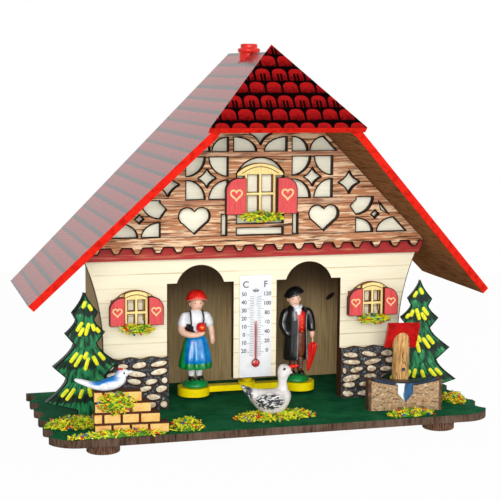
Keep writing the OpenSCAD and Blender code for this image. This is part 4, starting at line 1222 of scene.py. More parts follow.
def dollHead(x, z, size):
    # a plain doll's head: egg shape, small nose, dots for eyes, short mouth
    rings = [(x, y, z + size * high, size * wide, size * deep) for y, high, wide, deep in dollSet["head"]]
    head = loft(rings, 20)
    nose = limb([(x, -size * 0.9, z + size * 0.12, 0.16), (x, -size * 1.06, z - size * 0.16, 0.27)], 3)
    parts = [(head, skin), (nose, skin)]
    for side in (-1, 1):
        eye = ball(x + side * size * 0.36, -size * 0.86, z + size * 0.14, 0.26, 0.16, 0.26, 12)
        ear = ball(x + side * size * 0.94, 0.1, z - size * 0.1, 0.3, 0.55, 0.75, 12)
        parts += [(eye, eyeBrown), (ear, skin)]
    mouth = limb([(x - size * 0.2, -size * 0.86, z - size * 0.5, 0.12),
                  (x, -size * 0.91, z - size * 0.53, 0.14),
                  (x + size * 0.2, -size * 0.86, z - size * 0.5, 0.12)], 3)
    return parts + [(mouth, lipRose)]


def addFigure(name, parts, shift):
    figure = applyPlace(joinPainted(parts), discs[name] + Vector((shift * mm, 0, 0)))
    finishPiece(figure, name + "_figure", "figure_arm", [name])


womanSet = {
    "shift": 0.8,
    "hem": 13.0,
    "waist": 27.0,
    "folds": 11,
    "foldDepth": 0.075,
    "apronHalf": 60,
    "skirt": [(13.2, 5.2, 4.6), (13.0, 6.7, 5.9), (13.4, 6.85, 6.05), (17, 6.4, 5.6), (21, 5.6, 4.9),
              (24.5, 4.7, 4.0), (27, 4.0, 3.4), (27.6, 3.2, 2.6)],
    "apron": [(14.6, 6.85, 6.05), (17, 6.65, 5.85), (21, 5.85, 5.15), (24.5, 4.95, 4.25),
              (27.2, 4.25, 3.65)],
    "blouse": [(0, 0, 26.4, 3.7, 3.0), (0, 0, 29, 3.9, 3.2), (0, -0.2, 32, 4.4, 3.5),
               (0, -0.1, 34.6, 4.5, 3.2), (0, 0, 36.4, 3.4, 2.6), (0, 0, 37.3, 1.9, 1.8),
               (0, 0, 37.6, 1.4, 1.4)],
    "corset": [(0, 0, 26.8, 4.0, 3.35), (0, 0, 29, 4.15, 3.5), (0, -0.2, 31.2, 4.5, 3.7),
               (0, -0.2, 32.6, 4.6, 3.7)],
    "strap": [(2.5, -3.5, 31.6), (2.7, -3.4, 34.2), (2.6, -2.2, 36.5), (2.4, 0.2, 37.0), (2.4, 2.4, 35.6),
              (2.5, 3.2, 32)],
    "strapRadius": 0.36,
    "sleeve": [(3.7, 0, 35.4, 1.5), (4.7, 0, 34.4, 1.95), (5.5, -0.2, 32.2, 2.05), (5.8, -0.3, 30.6, 1.85)],
    "neck": [(0, 0, 36.6, 1.5), (0.1, 0, 38.0, 1.4)],
    "leftArm": [(-6.2, -0.4, 30.8, 1.4), (-6.3, -1.6, 28.6, 1.55), (-4.4, -3.8, 27.7, 1.35),
                (-1.6, -4.9, 27.5, 1.15), (1.2, -5.1, 27.9, 1.05), (2.4, -4.9, 28.6, 0.8)],
    "rightArm": [(6.2, -0.3, 30.8, 1.35), (6.6, -0.6, 28.2, 1.4), (6.9, -0.9, 25.8, 1.1),
                 (7.0, -1.1, 24.4, 1.2), (6.9, -1.3, 23.2, 0.8)],
    "headX": 0.4,
    "hair": [(0.7, 37.0, 1.6, 1.4), (0.9, 38.2, 2.6, 2.4), (0.75, 40, 3.0, 2.7), (0.5, 42, 2.9, 2.8),
             (0.4, 43, 1.6, 1.6)],
    "hat": [(0.4, -0.1, 42.5, 2.2, 2.2), (0.4, -0.1, 41.9, 3.9, 3.9), (0.4, -0.1, 41.8, 4.5, 4.3),
            (0.4, -0.1, 42.4, 4.6, 4.4), (0.4, 0, 43.4, 4.2, 4.0), (0.4, 0, 44.5, 3.4, 3.3),
            (0.5, 0, 45.3, 2.1, 2.1), (0.5, 0, 45.6, 0.5, 0.5)],
}


def fold(angle, z):
    # wave of the skirt and the apron, deepest at the hem
    share = (womanSet["waist"] - z) / (womanSet["waist"] - womanSet["hem"])
    return 1 + womanSet["foldDepth"] * max(share, 0) * math.cos(womanSet["folds"] * angle)


def cutShell(obj, test, thickness):
    # a shell of cloth that is left when the faces that pass the test are gone
    deleteFaces(obj, test)
    return smooth(applyModifier(obj, "SOLIDIFY", thickness=thickness * mm, offset=0))


def offApron(middle, normal):
    angle = math.degrees(math.atan2(abs(middle.x), -middle.y))
    return angle > womanSet["apronHalf"] or abs(normal.z) > 0.8


def offCorset(middle, normal):
    return abs(normal.z) > 0.8 or (middle.y < 0 and abs(middle.x) < 0.5 + (middle.z - 26.8) * 0.33)


def womanHat():
    middle = womanSet["headX"]
    hat = loft(womanSet["hat"])
    for vertex in hat.data.vertices:  # the brim dips at both sides
        reach = Vector((vertex.co.x - middle * mm, vertex.co.y)).length / (4.4 * mm)
        vertex.co.z += (0.5 - (vertex.co.x / mm - middle) ** 2 / 14) * mm * reach ** 2
    turns = [math.radians(angle) for angle in range(-80, 81, 20)]
    brim = [(middle + 4.3 * math.sin(turn), -0.1 - 4.2 * math.cos(turn),
             42.0 + 0.5 - (4.3 * math.sin(turn)) ** 2 / 14, 0.26) for turn in turns]
    brimPink = glossPaint("brimPink", rgb(244, 150, 130), rgb(232, 120, 104))
    return [(hat, hatRed), (limb(brim, 3), brimPink)]


def addWoman():
    skirtGreen = glossPaint("skirtGreen", rgb(10, 150, 68), rgb(2, 112, 44), 0.28, 0.8, blur=0.06)
    apronBlue = glossPaint("apronBlue", rgb(6, 146, 220), rgb(0, 106, 188), 0.28, 1.0, blur=0.04)
    spotOrange = glossPaint("ballOrange", rgb(246, 130, 30), rgb(230, 96, 20))
    parts = standOn(1.65, 15.5, white)
    parts.append((smooth(ripple(stack(womanSet["skirt"], 44), fold)), skirtGreen))
    parts.append((cutShell(ripple(stack(womanSet["apron"], 44), fold), offApron, 0.5), apronBlue))
    parts.append((loft(womanSet["blouse"]), white))
    parts.append((cutShell(loft(womanSet["corset"]), offCorset, 0.4), black))
    for side in (-1, 1):
        strap = limb([(side * x, y, z, womanSet["strapRadius"]) for x, y, z in womanSet["strap"]], 3)
        sleeve = limb([(side * x, y, z, radius) for x, y, z, radius in womanSet["sleeve"]])
        parts += [(strap, black), (sleeve, white)]
    parts += [(limb(womanSet[key]), skin) for key in ("neck", "leftArm", "rightArm")]
    parts.append((ball(1.2, -4.9, 30.7, 2.05, 2.0, 2.05), hatRed))
    parts.append((ball(1.3, -6.75, 30.8, 0.75, 0.25, 0.75, 12), spotOrange))
    parts += dollHead(womanSet["headX"], 39.9, 3.0)
    parts.append((loft([(womanSet["headX"],) + ring for ring in womanSet["hair"]], 20), hairBrown))
    addFigure("woman", parts + womanHat(), womanSet["shift"])


addWoman()
print("weather house: woman done")

manSet = {
    "shift": -1.2,
    "openLeft": -0.6,
    "openRight": 2.9,
    "hatTilt": 18,
    "hatPlace": (-1.3, -0.1, 42.2),
    "legX": 1.75,
    "laces": (10.6, 11.6, 12.6, 13.6),
    "hips": [(14.6, 4.2, 3.3), (20, 4.0, 3.5), (25.8, 3.8, 3.4), (27, 3.4, 3.0)],
    "vest": [(0.6, 0, 25.4, 3.7, 3.5), (0.6, -0.1, 30, 3.9, 3.7), (0.5, -0.1, 34, 3.9, 3.3),
             (0.3, 0, 35.4, 2.8, 2.4)],
    "buttons": (26.8, 28.5, 30.2, 31.9),
    "shirt": [(0.2, -0.9, 31.6, 0.7, 2.5), (0.1, -0.8, 34, 1.7, 2.5), (0, -0.4, 36, 2.2, 2.3),
              (-0.4, -0.2, 37.4, 1.8, 1.8), (-0.6, 0, 38.0, 1.3, 1.3)],
    "coat": [(-0.3, 0, 14.4, 5.2, 4.3), (-0.3, 0, 15, 5.3, 4.4), (-0.3, 0, 20, 5.1, 4.3),
             (-0.2, 0, 26, 4.8, 4.1), (-0.1, 0, 31, 5.0, 4.1), (0, 0, 34.5, 4.9, 3.7),
             (0, 0, 36.4, 3.8, 3.0), (-0.3, 0, 37.3, 2.3, 2.2)],
    # grey lines down the coat's front edges: painted highlights
    "coatHighlightEdges": ((-0.55, -0.35, 33.6), (2.85, 0.45, 33.2)),  # x, lean and height
    # the left elbow passes the pillar closely when the arm is swung out
    "leftSleeve": [(-3.9, 0, 35.2, 1.5), (-5.1, 0, 34.2, 1.9), (-6.0, -0.4, 31.6, 1.8),
                   (-6.4, -0.5, 29.6, 1.7), (-5.7, -1.5, 27.2, 1.55), (-4.4, -3.0, 25.4, 1.5)],
    "rightSleeve": [(3.9, 0, 35.2, 1.5), (5.2, 0, 34.2, 1.95), (6.1, -0.3, 31.4, 1.9),
                    (6.4, -0.8, 28.6, 1.65), (6.4, -1.3, 26.6, 1.6)],
    "hand": [(6.4, -1.4, 26.4, 1.05), (6.4, -1.7, 25.2, 1.15), (6.3, -2.0, 24.0, 0.9)],
    "neck": [(-0.7, 0, 37, 1.45), (-1.0, 0, 38.2, 1.4)],
    "headX": -1.2,
    "hair": [(0.7, 37.4, 1.5, 1.3), (0.9, 38.6, 2.5, 2.3), (0.7, 40.2, 2.95, 2.6), (0.5, 42, 2.8, 2.7),
             (0.4, 43, 1.6, 1.6)],
    "hat": [(0, 0, 0.2, 2.4, 2.4), (0, 0, -0.3, 3.8, 3.6), (0, 0, -0.2, 4.5, 4.1), (0, 0, 0.3, 4.5, 4.1),
            (0, 0, 0.9, 3.9, 3.6), (0.2, 0, 1.8, 3.3, 3.1), (0.3, 0, 2.5, 2.4, 2.4), (0.3, 0, 2.9, 1.2, 1.2),
            (0.3, 0, 3.0, 0.4, 0.4)],
    "handle": [(6.4, -2.0, 26.2, 0.35), (6.5, -2.0, 23.6, 0.35), (6.6, -2.0, 21.2, 0.4)],
    "umbrella": [(4.6, 9.2, 0.35), (4.9, 10.6, 0.8), (5.5, 14, 1.3), (6.2, 18, 1.7), (6.6, 20.2, 1.9),
                 (6.7, 21.2, 1.6), (6.7, 21.8, 0.5)],
    "umbrellaY": -2.0,
}


def offCoat(middle, normal):
    widen = max(0, (middle.z - 31) * 0.26)
    inFront = middle.y < -0.5 and manSet["openLeft"] - widen < middle.x < manSet["openRight"] + widen * 0.5
    return abs(normal.z) > 0.97 or inFront


def manHat():
    hat = loft(manSet["hat"])
    for vertex in hat.data.vertices:  # the brim rolls up at the back
        vertex.co.z += max(0, vertex.co.y / mm - 2) / 2 * 0.6 * mm
    applyPlace(hat, turn=(0, -manSet["hatTilt"], 0))
    return applyPlace(hat, [side * mm for side in manSet["hatPlace"]])


def closedUmbrella():
    # leans towards the foot, with gathered folds
    y = manSet["umbrellaY"]
    umbrella = loft([(x, y, z, radius, radius) for x, z, radius in manSet["umbrella"]], 30)

    def share(z):
        return (z - 9.2) / 12.6

    return ripple(umbrella, lambda angle, z: 1 + 0.14 * math.cos(5 * angle + 3 * share(z)),
                  lambda z: ((4.6 + 2.1 * share(z)) * mm, y * mm))


def addMan():
    trouserBrown = glossPaint("trouserBrown", rgb(132, 72, 46), rgb(96, 48, 30))
    waistcoatRed = glossPaint("waistcoatRed", rgb(236, 50, 36), rgb(206, 26, 24))
    # grey for the painted highlights on the coat's edges and for the real lacing
    highlightAndLaceGrey = glossPaint("highlightAndLaceGrey", rgb(150, 150, 158), rgb(98, 98, 106))
    buttonGold = glossPaint("buttonGold", rgb(244, 120, 40), rgb(226, 92, 22))
    legX = manSet["legX"]
    parts = standOn(legX, 16, trouserBrown)
    for side in (-1, 1):  # pale lacing on the stockings
        for z in manSet["laces"]:
            lace = limb([(side * legX - 0.7, -1.25, z, 0.16), (side * legX, -1.5, z + 0.35, 0.2),
                         (side * legX + 0.8, -1.2, z + 0.6, 0.14)], 2)
            parts.append((lace, highlightAndLaceGrey))
    parts.append((stack(manSet["hips"], x=0.4), trouserBrown))
    parts.append((loft(manSet["vest"]), waistcoatRed))
    parts += [(ball(1.3, -3.75, z, 0.42, 0.25, 0.42, 12), buttonGold) for z in manSet["buttons"]]
    parts.append((loft(manSet["shirt"]), white))
    for side in (-1, 1):
        collar = limb([(side * 0.5 - 0.2, -2.5, 36.6, 0.5), (side * 1.5 - 0.1, -2.4, 37.0, 0.5),
                       (side * 1.9 - 0.3, -0.8, 37.6, 0.4)], 3)
        parts.append((collar, white))
    parts.append((cutShell(loft(manSet["coat"], 44), offCoat, 0.55), black))
    # painted highlights along the coat's front edges
    for x, lean, high in manSet["coatHighlightEdges"]:
        edge = limb([(x + lean * 1.2, -4.45, 14.9, 0.3), (x + lean, -4.5, 20, 0.32),
                     (x + lean * 0.5, -4.3, 26, 0.3), (x, -4.1, 31, 0.26),
                     (x + lean * 1.6, -3.4, high + 1.6, 0.2)], 3)
        parts.append((edge, highlightAndLaceGrey))
    parts += [(limb(manSet[key]), black) for key in ("leftSleeve", "rightSleeve")]
    parts += [(limb(manSet[key]), skin) for key in ("hand", "neck")]
    parts += dollHead(manSet["headX"], 40.1, 2.9)
    parts.append((loft([(manSet["headX"],) + ring for ring in manSet["hair"]], 20), hairBrown))
    parts.append((manHat(), black))
    parts.append((limb(manSet["handle"], 3), skin))
    parts.append((closedUmbrella(), hatRed))
    addFigure("man", parts, manSet["shift"])


addMan()
print("weather house: man done")


# brick wall with the bird on it

wallSet = {
    "corner": (-71.4, -32.6),
    "turn": -5,
    "length": 27.4,
    "thick": 5.0,
    "courses": 4,
    "courseHeight": 4.1,
    "brick": 6.85,
    "joint": 0.75,
    "proud": 0.3,
    "edge": 0.35,
    "tan": (rgb(248, 202, 116), rgb(236, 166, 78)),
    "pale": rgb(254, 228, 164),
    "scorch": rgb(112, 58, 24),
    "mortar": (rgb(84, 44, 22), rgb(52, 26, 12)),
}


def wallPlace(obj):
    x, y = wallSet["corner"]
    return applyPlace(obj, (x * mm, y * mm, floorZ), (0, 0, wallSet["turn"]))


def brickFinish():
    finish = newFinish("brickTan", 0.6)
    fine = patches(finish, 0.5, 0.4, 0.7)
    colour = mixColour(patches(finish, 3.2, 0.35, 0.68), *wallSet["tan"])
    colour = blend(fine, 0.5, colour, wallSet["pale"])
    front = fade(calc("ABSOLUTE", facing(finish, (0, 1, 0))), 0.7, 0.94)
    colourBy(finish, front, wallSet["scorch"], colour)  # scorched round each brick
    return relief(finish, fine, 0.08)


def addBricks():
    dress(twoTone("brickMortar", 0.75, wallSet["mortar"], (0.7, 0.4, 0.7), bump=(0.5, 0.1)), "brick_wall")
    courses, tall, brick, joint, proud = (wallSet[key] for key in
                                          ("courses", "courseHeight", "brick", "joint", "proud"))
    run = wallSet["length"] / (2 * courses)  # each course is a step shorter
    parts = []
    for course in range(courses):
        end = wallSet["length"] - course * run
        height = tall - joint + (proud if course == courses - 1 else 0)
        z = course * tall + joint / 2 + height / 2
        x = 0 if course % 2 == 0 else -brick / 2
        while x < end - 1:
            start, stop = max(x, -proud), min(x + brick - joint, end + proud)
            if end - stop < 1.2:
                stop = end + proud
            x = x + brick
            parts.append(block((start + stop) / 2, 0, z, stop - start, wallSet["thick"] + 2 * proud, height,
                               wallSet["edge"]))
            if stop >= end:
                break
    finishPiece(wallPlace(paint(joinAll(parts), brickFinish())), "bricks")


birdSet = {
    "back": rgb(14, 124, 204),
    "white": rgb(246, 247, 250),
    "grey": rgb(214, 220, 232),
    "blueFrom": (-1.5, 8.6),
    "body": [(-7.4, 4.5, 0.3, 0.5), (-6.7, 4.35, 0.8, 1.1), (-4.2, 3.5, 1.15, 1.5), (-1.2, 2.4, 1.3, 1.6),
             (1.2, 1.8, 1.7, 1.9), (3.8, 2.0, 2.2, 2.4), (6.6, 2.8, 2.75, 2.8), (9.0, 3.6, 2.8, 2.7),
             (10.8, 4.2, 2.2, 2.2), (11.9, 4.4, 0.9, 0.9)],
    "head": [(7.4, 4.6, 1.3, 1.3), (8.6, 5.6, 1.9, 1.8), (10.2, 6.1, 2.15, 2.0), (11.6, 6.3, 1.75, 1.6),
             (12.6, 6.5, 1.0, 1.0), (13.0, 6.6, 0.6, 0.6)],
    "beak": [(12.4, 0, 6.6, 0.8), (13.4, 0, 6.9, 0.5), (14.3, 0, 7.1, 0.2)],
    "wing": [(1.6, 2.6, 0.3, 0.2), (3.4, 2.9, 1.0, 0.45), (6.0, 3.2, 1.4, 0.5), (8.2, 3.5, 1.2, 0.45),
             (9.4, 3.7, 0.4, 0.2)],
    "wingY": 2.35,
    "cap": [(9.9, 0, 7.6, 1.2, 1.2), (9.9, 0, 8.1, 1.1, 1.0), (9.8, 0, 8.45, 0.5, 0.5)],
}


def birdFinish(start):
    finish = newFinish("birdWhiteBlue", 0.3, {"Coat Weight": 0.3})
    x = along(finish, (1, 0, 0), start)
    up = calc("MULTIPLY_ADD", grain(finish, 1.0), 0.4, facing(finish, (0, 0, 1)))
    back = times(fade(up, 0.0, 0.75), between(x, *birdSet["blueFrom"], 2.2))
    face = mixColour(patches(finish, 1.6, 0.4, 0.75), birdSet["white"], birdSet["grey"])
    colourBy(finish, back, face, birdSet["back"])
    return relief(finish, grain(finish, 0.7), 0.04)


def addBird():
    top = wallSet["courses"] * wallSet["courseHeight"]
    finish = birdFinish(Vector((wallSet["corner"][0] * mm, 0, floorZ + top * mm)))
    parts = [(loftAlongX(birdSet["body"]), finish), (loftAlongX(birdSet["head"]), finish),
             (limb(birdSet["beak"], 3), white)]
    for side in (-1, 1):
        wing = applyPlace(loftAlongX(birdSet["wing"], 16), (0, side * birdSet["wingY"] * mm, 0))
        parts += [(wing, finish), (ball(11.0, side * 1.65, 6.7, 0.4, 0.25, 0.4, 12), eyeGrey)]
    parts.append((loft(birdSet["cap"], 16), hatRed))
    bird = wallPlace(applyPlace(joinPainted(parts), (0, 0, top * mm)))
    finishPiece(bird, "bird_figure", nodes=["bird"])


addBricks()
addBird()
print("weather house: brick wall and bird done")


# goose

gooseSet = {
    "place": (0, -25.5),
    "wingMiddle": (-2.2, 7.2),
    "wingHalf": (5.6, 3.2),
    "white": (rgb(234, 230, 226), rgb(204, 200, 196)),
    "groove": rgb(120, 120, 126),
    "strokes": rgb(56, 60, 64),
    "body": [(-12.8, 13.4, 0.4, 0.4), (-12.2, 12.7, 1.0, 0.8), (-10.6, 11.2, 1.9, 1.5),
             (-8.6, 9.4, 2.9, 2.4), (-6, 7.6, 4.1, 3.4), (-3, 6.5, 4.9, 4.1), (0, 6.2, 5.2, 4.5),
             (3, 6.5, 5.2, 4.4), (5.4, 7.4, 4.2, 3.6), (6.9, 8.2, 2.4, 2.1), (7.5, 8.4, 0.8, 0.8)],
    "neck": [(3.4, 7, 3.4, 2.9), (4.1, 10, 2.6, 2.3), (4.1, 12.5, 1.8, 1.8), (4.0, 14.6, 1.65, 1.65),
             (4.3, 16.2, 2.2, 2.0), (4.8, 17.8, 2.8, 2.3), (4.9, 19.2, 2.8, 2.2), (4.6, 20.4, 2.0, 1.6),
             (4.4, 21.1, 0.9, 0.8)],
    "cheek": [(5.6, 0, 17.9, 1.4), (6.8, 0, 17.7, 1.05), (7.7, 0, 17.6, 0.6)],
    "beak": [(6.2, 0, 19.6, 0.85), (8.4, 0, 20.0, 0.72), (10.2, 0, 20.2, 0.6)],
    "wing": [(-7.6, 8.9, 0.4, 0.3), (-5.4, 8.0, 1.9, 0.6), (-2.4, 7.3, 2.8, 0.75), (0.8, 7.1, 2.9, 0.75),
             (2.8, 7.4, 2.2, 0.6), (3.9, 7.8, 0.8, 0.35)],
    "wingY": 3.9,
}


def gooseFinish(place):
    finish = newFinish("gooseWhite", 0.42, {"Coat Weight": 0.15})
    x = along(finish, (1, 0, 0), place)
    z = along(finish, (0, 0, 1), place)
    offsets = [calc("DIVIDE", calc("SUBTRACT", value, middle), half)
               for value, middle, half in zip((x, z), gooseSet["wingMiddle"], gooseSet["wingHalf"])]
    ring = calc("ADD", *[square(offset) for offset in offsets])
    strokes = patches(finish, 0.75, 0.44, 0.5, (2.4, 1, 1), 2)
    wing = times(strokes, fade(ring, 1.05, 0.85))
    groove = between(ring, 1.05, 1.2, 0.08)
    tail = times(fade(x, -7.6, -9.6), patches(finish, 0.7, 0.4, 0.47, (2.5, 1, 1.5), 2))
    face = mixColour(patches(finish, 2.2, 0.4, 0.75), *gooseSet["white"])
    face = blend(groove, 0.55, face, gooseSet["groove"])
    colourBy(finish, calc("MAXIMUM", wing, tail), face, gooseSet["strokes"])
    sunk = calc("MULTIPLY_ADD", calc("ADD", wing, groove), -0.5, grain(finish, 0.8))
    return relief(finish, sunk, 0.12)


def addGoose():
    x, y = gooseSet["place"]
    place = Vector((x * mm, y * mm, floorZ))
    finish = gooseFinish(place)
    neck = loft([(x, 0, z, wide, deep) for x, z, wide, deep in gooseSet["neck"]])
    parts = [(loftAlongX(gooseSet["body"], 28), finish), (neck, finish),
             (limb(gooseSet["cheek"], 3), finish), (limb(gooseSet["beak"], 3), hatRed)]
    for side in (-1, 1):
        wing = applyPlace(loftAlongX(gooseSet["wing"], 20), (0, side * gooseSet["wingY"] * mm, 0))
        parts += [(wing, finish), (ball(4.2, side * 2.05, 19.5, 0.58, 0.35, 0.58, 12), black)]
    goose = deleteFaces(joinPainted(parts), lambda middle, normal: middle.z < -0.5)
    finishPiece(applyPlace(goose, place), "goose_figure", nodes=["goose"])


addGoose()
print("weather house: goose done")


# trees: painted tiers, dark under their tips, yellow strokes on top

treeSet = {
    "left": (-71.3, -9.0),
    "right": (68.1, -9.0),
    "turn": 10,
    "thick": 3.0,
    "tips": (42.0, 34.0, 21.5, 8.0),
    "waists": (49.7, 39.0, 29.8, 16.5),
    "green": (rgb(36, 132, 80), rgb(18, 96, 56)),
    "pale": rgb(84, 172, 112),
    "dark": rgb(10, 34, 24),
    "underTip": rgb(14, 26, 22),
    "edge": rgb(24, 46, 34),
    "strokeWide": 0.82,
    "strokeHigh": 0.3,
    # middle x, z, length and lean of each stroke
    "strokes": (
        (-0.5, 45.2, 3.2, -26), (2.0, 43.9, 3.0, 24), (-2.4, 36.7, 4.4, -36), (-1.7, 34.6, 3.9, -33),
        (0.7, 35.5, 5.2, -17), (3.2, 36.0, 3.2, 18), (5.0, 34.8, 2.6, 36), (-4.8, 24.8, 5.0, -39),
        (-3.0, 23.4, 5.6, -35), (0.0, 25.2, 3.2, -24), (0.4, 21.9, 5.4, -17), (3.9, 22.9, 4.5, 28),
        (6.5, 24.4, 4.2, 38), (-6.3, 10.4, 5.8, -39), (-8.6, 11.2, 4.2, -44), (-2.0, 10.2, 4.0, -20),
        (1.6, 10.6, 4.2, 12), (4.4, 10.0, 4.6, 24), (7.6, 10.8, 4.8, 38), (10.2, 9.8, 4.2, 50),
    ),
}


def treeFinish(name, side):
    finish = newFinish(name + "TreePaint", 0.42, {"Coat Weight": 0.15})
    x, y = treeSet[name]
    turn = math.radians(treeSet["turn"])
    place = (x * mm, y * mm, floorZ)
    across = along(finish, (side * math.cos(turn), -math.sin(turn), 0), place)
    rise = along(finish, (0, 0, 1), place)
    # fall below the waist of the tier that a point is on
    fall = calc("SUBTRACT", treeSet["waists"][0], rise)
    for upper, lower in zip(treeSet["waists"], treeSet["waists"][1:]):
        under = calc("LESS_THAN", rise, lower - 1.5)
        fall = calc("MULTIPLY_ADD", under, -(upper - lower), fall)
    fan = calc("DIVIDE", across, calc("ADD", fall, 5.0))
    wires = {"X": fan, "Y": times(rise, 0.02), "Z": side * 3.0}
    fanned = addNode(finish, "CombineXYZ", wires).outputs[0]
    noise = addNode(finish, "TexNoise", {"Vector": fanned, "Scale": 9.0, "Detail": 3.0}).outputs[0]
    streak = fade(noise, 0.5, 0.6)
    brush = patches(finish, 0.9, 0.35, 0.7, (1, 1, 5))
    face = mixColour(brush, *treeSet["green"])
    face = blend(fade(noise, 0.44, 0.3), 0.7, face, treeSet["pale"])
    face = blend(streak, 0.85, face, treeSet["dark"])
    ragged = calc("MULTIPLY_ADD", noise, 5.0, -2.5)
    bend = times(calc("ABSOLUTE", across), 0.06)
    edge = calc("ADD", calc("SUBTRACT", rise, bend), ragged)
    for tip in treeSet["tips"]:
        band = between(edge, tip - 1.4, tip + 1.8, 0.5)
        face = blend(band, 0.92, face, treeSet["underTip"])
    sawnPlate(finish, face, treeSet["edge"])
    return relief(finish, calc("SUBTRACT", brush, streak), 0.12)


def addTrees():
    yellow = glossPaint("needleYellow", rgb(244, 242, 40), rgb(216, 222, 28), 0.4, 0.2, 1.5)
    model = ball(0, 0, 0, 1, 1, 1, 16)
    wide, high = treeSet["strokeWide"], treeSet["strokeHigh"]
    for name, side in (("left", -1), ("right", 1)):
        dress(treeFinish(name, side), name + "_tree")
        strokes = []
        for x, z, length, lean in treeSet["strokes"]:
            x, lean = -side * x, -side * lean  # the right tree is painted the other way round
            stroke = applyPlace(copyOf(model), scale=(wide, high, wide))
            for vertex in stroke.data.vertices:  # draws the ball out to a capsule
                if abs(vertex.co.z) > 1e-7:
                    vertex.co.z += math.copysign((length / 2 - wide) * mm, vertex.co.z)
            applyPlace(stroke, turn=(0, -lean, 0))
            applyPlace(stroke, (x * mm, -treeSet["thick"] / 2 * mm, z * mm))
            strokes.append(paint(stroke, yellow))
        x, y = treeSet[name]
        joined = applyPlace(joinAll(strokes), (x * mm, y * mm, floorZ), (0, 0, -side * treeSet["turn"]))
        finishPiece(smooth(joined), name + "_tree_strokes")
    remove(model)


addTrees()
print("weather house: trees done")


# log trough with painted water, well post and its roof board

troughSet = {
    "place": (54.8, -28.4),
    "turn": -10,
    "depth": 6.5,
    "postGap": 0.3,
    "spoutZ": 15.2,
    "spoutX": 0.6,
    "spout": [(-0.3, 0.85), (0.12, 0.85), (0.22, 0.7), (0.05, 0.5), (0.0, 0.2)],
    "rimHalf": 12.4,
    "rimHigh": 12.5,
    "rimSag": 1.9,
    "rimY": 0.6,
    "rimRadius": 0.8,
    "pith": (9.0, 2.0),  # middle of the log's rings, across and up
    "sawn": (rgb(212, 172, 128), rgb(130, 92, 62)),
    "speck": rgb(236, 212, 176),
    "pit": rgb(96, 64, 42),
    "bark": (rgb(126, 92, 68), rgb(82, 56, 42)),
    "blue": (rgb(44, 92, 132), rgb(24, 48, 74)),
    "navy": rgb(30, 46, 62),
    "foam": rgb(240, 246, 250),
    "tongue": (-3.7, 3.6),
    "post": (rgb(244, 198, 130), rgb(190, 134, 70)),
    "postDark": rgb(146, 92, 44),
    "crack": rgb(70, 38, 18),
    "crackFrom": (17.3, 22.3),
}
troughX, troughY = troughSet["place"]
troughPlace = Vector((troughX * mm, troughY * mm, floorZ))
troughTurn = math.radians(troughSet["turn"])
troughAlong = (math.cos(troughTurn), math.sin(troughTurn), 0)
troughOut = (math.sin(troughTurn), -math.cos(troughTurn), 0)


def sawnLogFinish():
    finish = newFinish("sawnLog", 0.7)
    across = along(finish, troughAlong, troughPlace)
    rise = along(finish, (0, 0, 1), troughPlace)
    pithX, pithZ = troughSet["pith"]
    up = times(calc("SUBTRACT", rise, pithZ), 1.5)  # the rings are wider than high
    away = calc("ADD", square(calc("SUBTRACT", across, pithX)), square(up))
    wobble = calc("MULTIPLY_ADD", grain(finish, 2.0), 2.2, calc("SQRT", away))
    rings = fade(calc("SINE", times(wobble, 4.5)), -0.4, 0.8)
    speck = patches(finish, 0.8, 0.5, 0.6, (2, 2, 1))
    front = blend(rings, 0.3, *troughSet["sawn"])
    front = blend(speck, 0.75, front, troughSet["speck"])
    front = blend(patches(finish, 0.9, 0.53, 0.62, (2.5, 2.5, 1), 3), 0.7, front, troughSet["pit"])
    furrow = patches(finish, 0.9, 0.38, 0.66, (1, 1, 4))
    bark = mixColour(furrow, *troughSet["bark"])
    atEnd = fade(calc("ABSOLUTE", across), 13.4, 14.1)
    face = fade(facing(finish, troughOut), 0.6, 0.8)
    colourBy(finish, times(face, calc("SUBTRACT", 1.0, atEnd)), bark, front)
    return relief(finish, calc("ADD", furrow, speck), 0.3)


def waterFinish():
    # a blue tongue with white foam, between dark paint on the rim
    finish = newFinish("waterBlue", 0.3, {"Coat Weight": 0.15})
    side = along(finish, troughAlong, troughPlace)
    tone = patches(finish, 1.2, 0.4, 0.7, (1, 1, 4))
    blue = mixColour(tone, *troughSet["blue"])
    upward = fade(facing(finish, (0, 0, 1)), 0.4, 0.7)
    blue = mixColour(upward, blue, troughSet["navy"])
    blue = mixColour(between(side, *troughSet["tongue"], 0.3), troughSet["navy"], blue)
    ragged = calc("SUBTRACT", side, 1.2)
    ragged = calc("MULTIPLY_ADD", grain(finish, 0.8, (1, 1, 5), 2), 2.4, ragged)
    foam = times(between(ragged, -3.6, -0.5, 0.4), fade(facing(finish, troughOut), 0.3, 0.6))
    colourBy(finish, foam, blue, troughSet["foam"])
    return relief(finish, tone, 0.1)


def postFinish():
    finish = newFinish("postWood", 0.55)
    fibre = patches(finish, 0.6, 0.38, 0.7, (1, 1, 14))
    colour = mixColour(fibre, *troughSet["post"])
    colour = blend(patches(finish, 2.6, 0.36, 0.66, (1, 1, 3)), 0.6, colour, troughSet["postDark"])
    # short cracks, and one long crack above the spout
    bent = calc("MULTIPLY_ADD", grain(finish, 2.2), 1.6, along(finish, troughAlong, troughPlace))
    rise = along(finish, (0, 0, 1), troughPlace)
    long = times(between(bent, 0.9, 1.3, 0.15), between(rise, *troughSet["crackFrom"], 0.8))
    crack = calc("MAXIMUM", patches(finish, 1.1, 0.58, 0.66, (1, 1, 5), 2), long)
    colourBy(finish, crack, colour, troughSet["crack"])
    return relief(finish, calc("SUBTRACT", fibre, crack), 0.15)


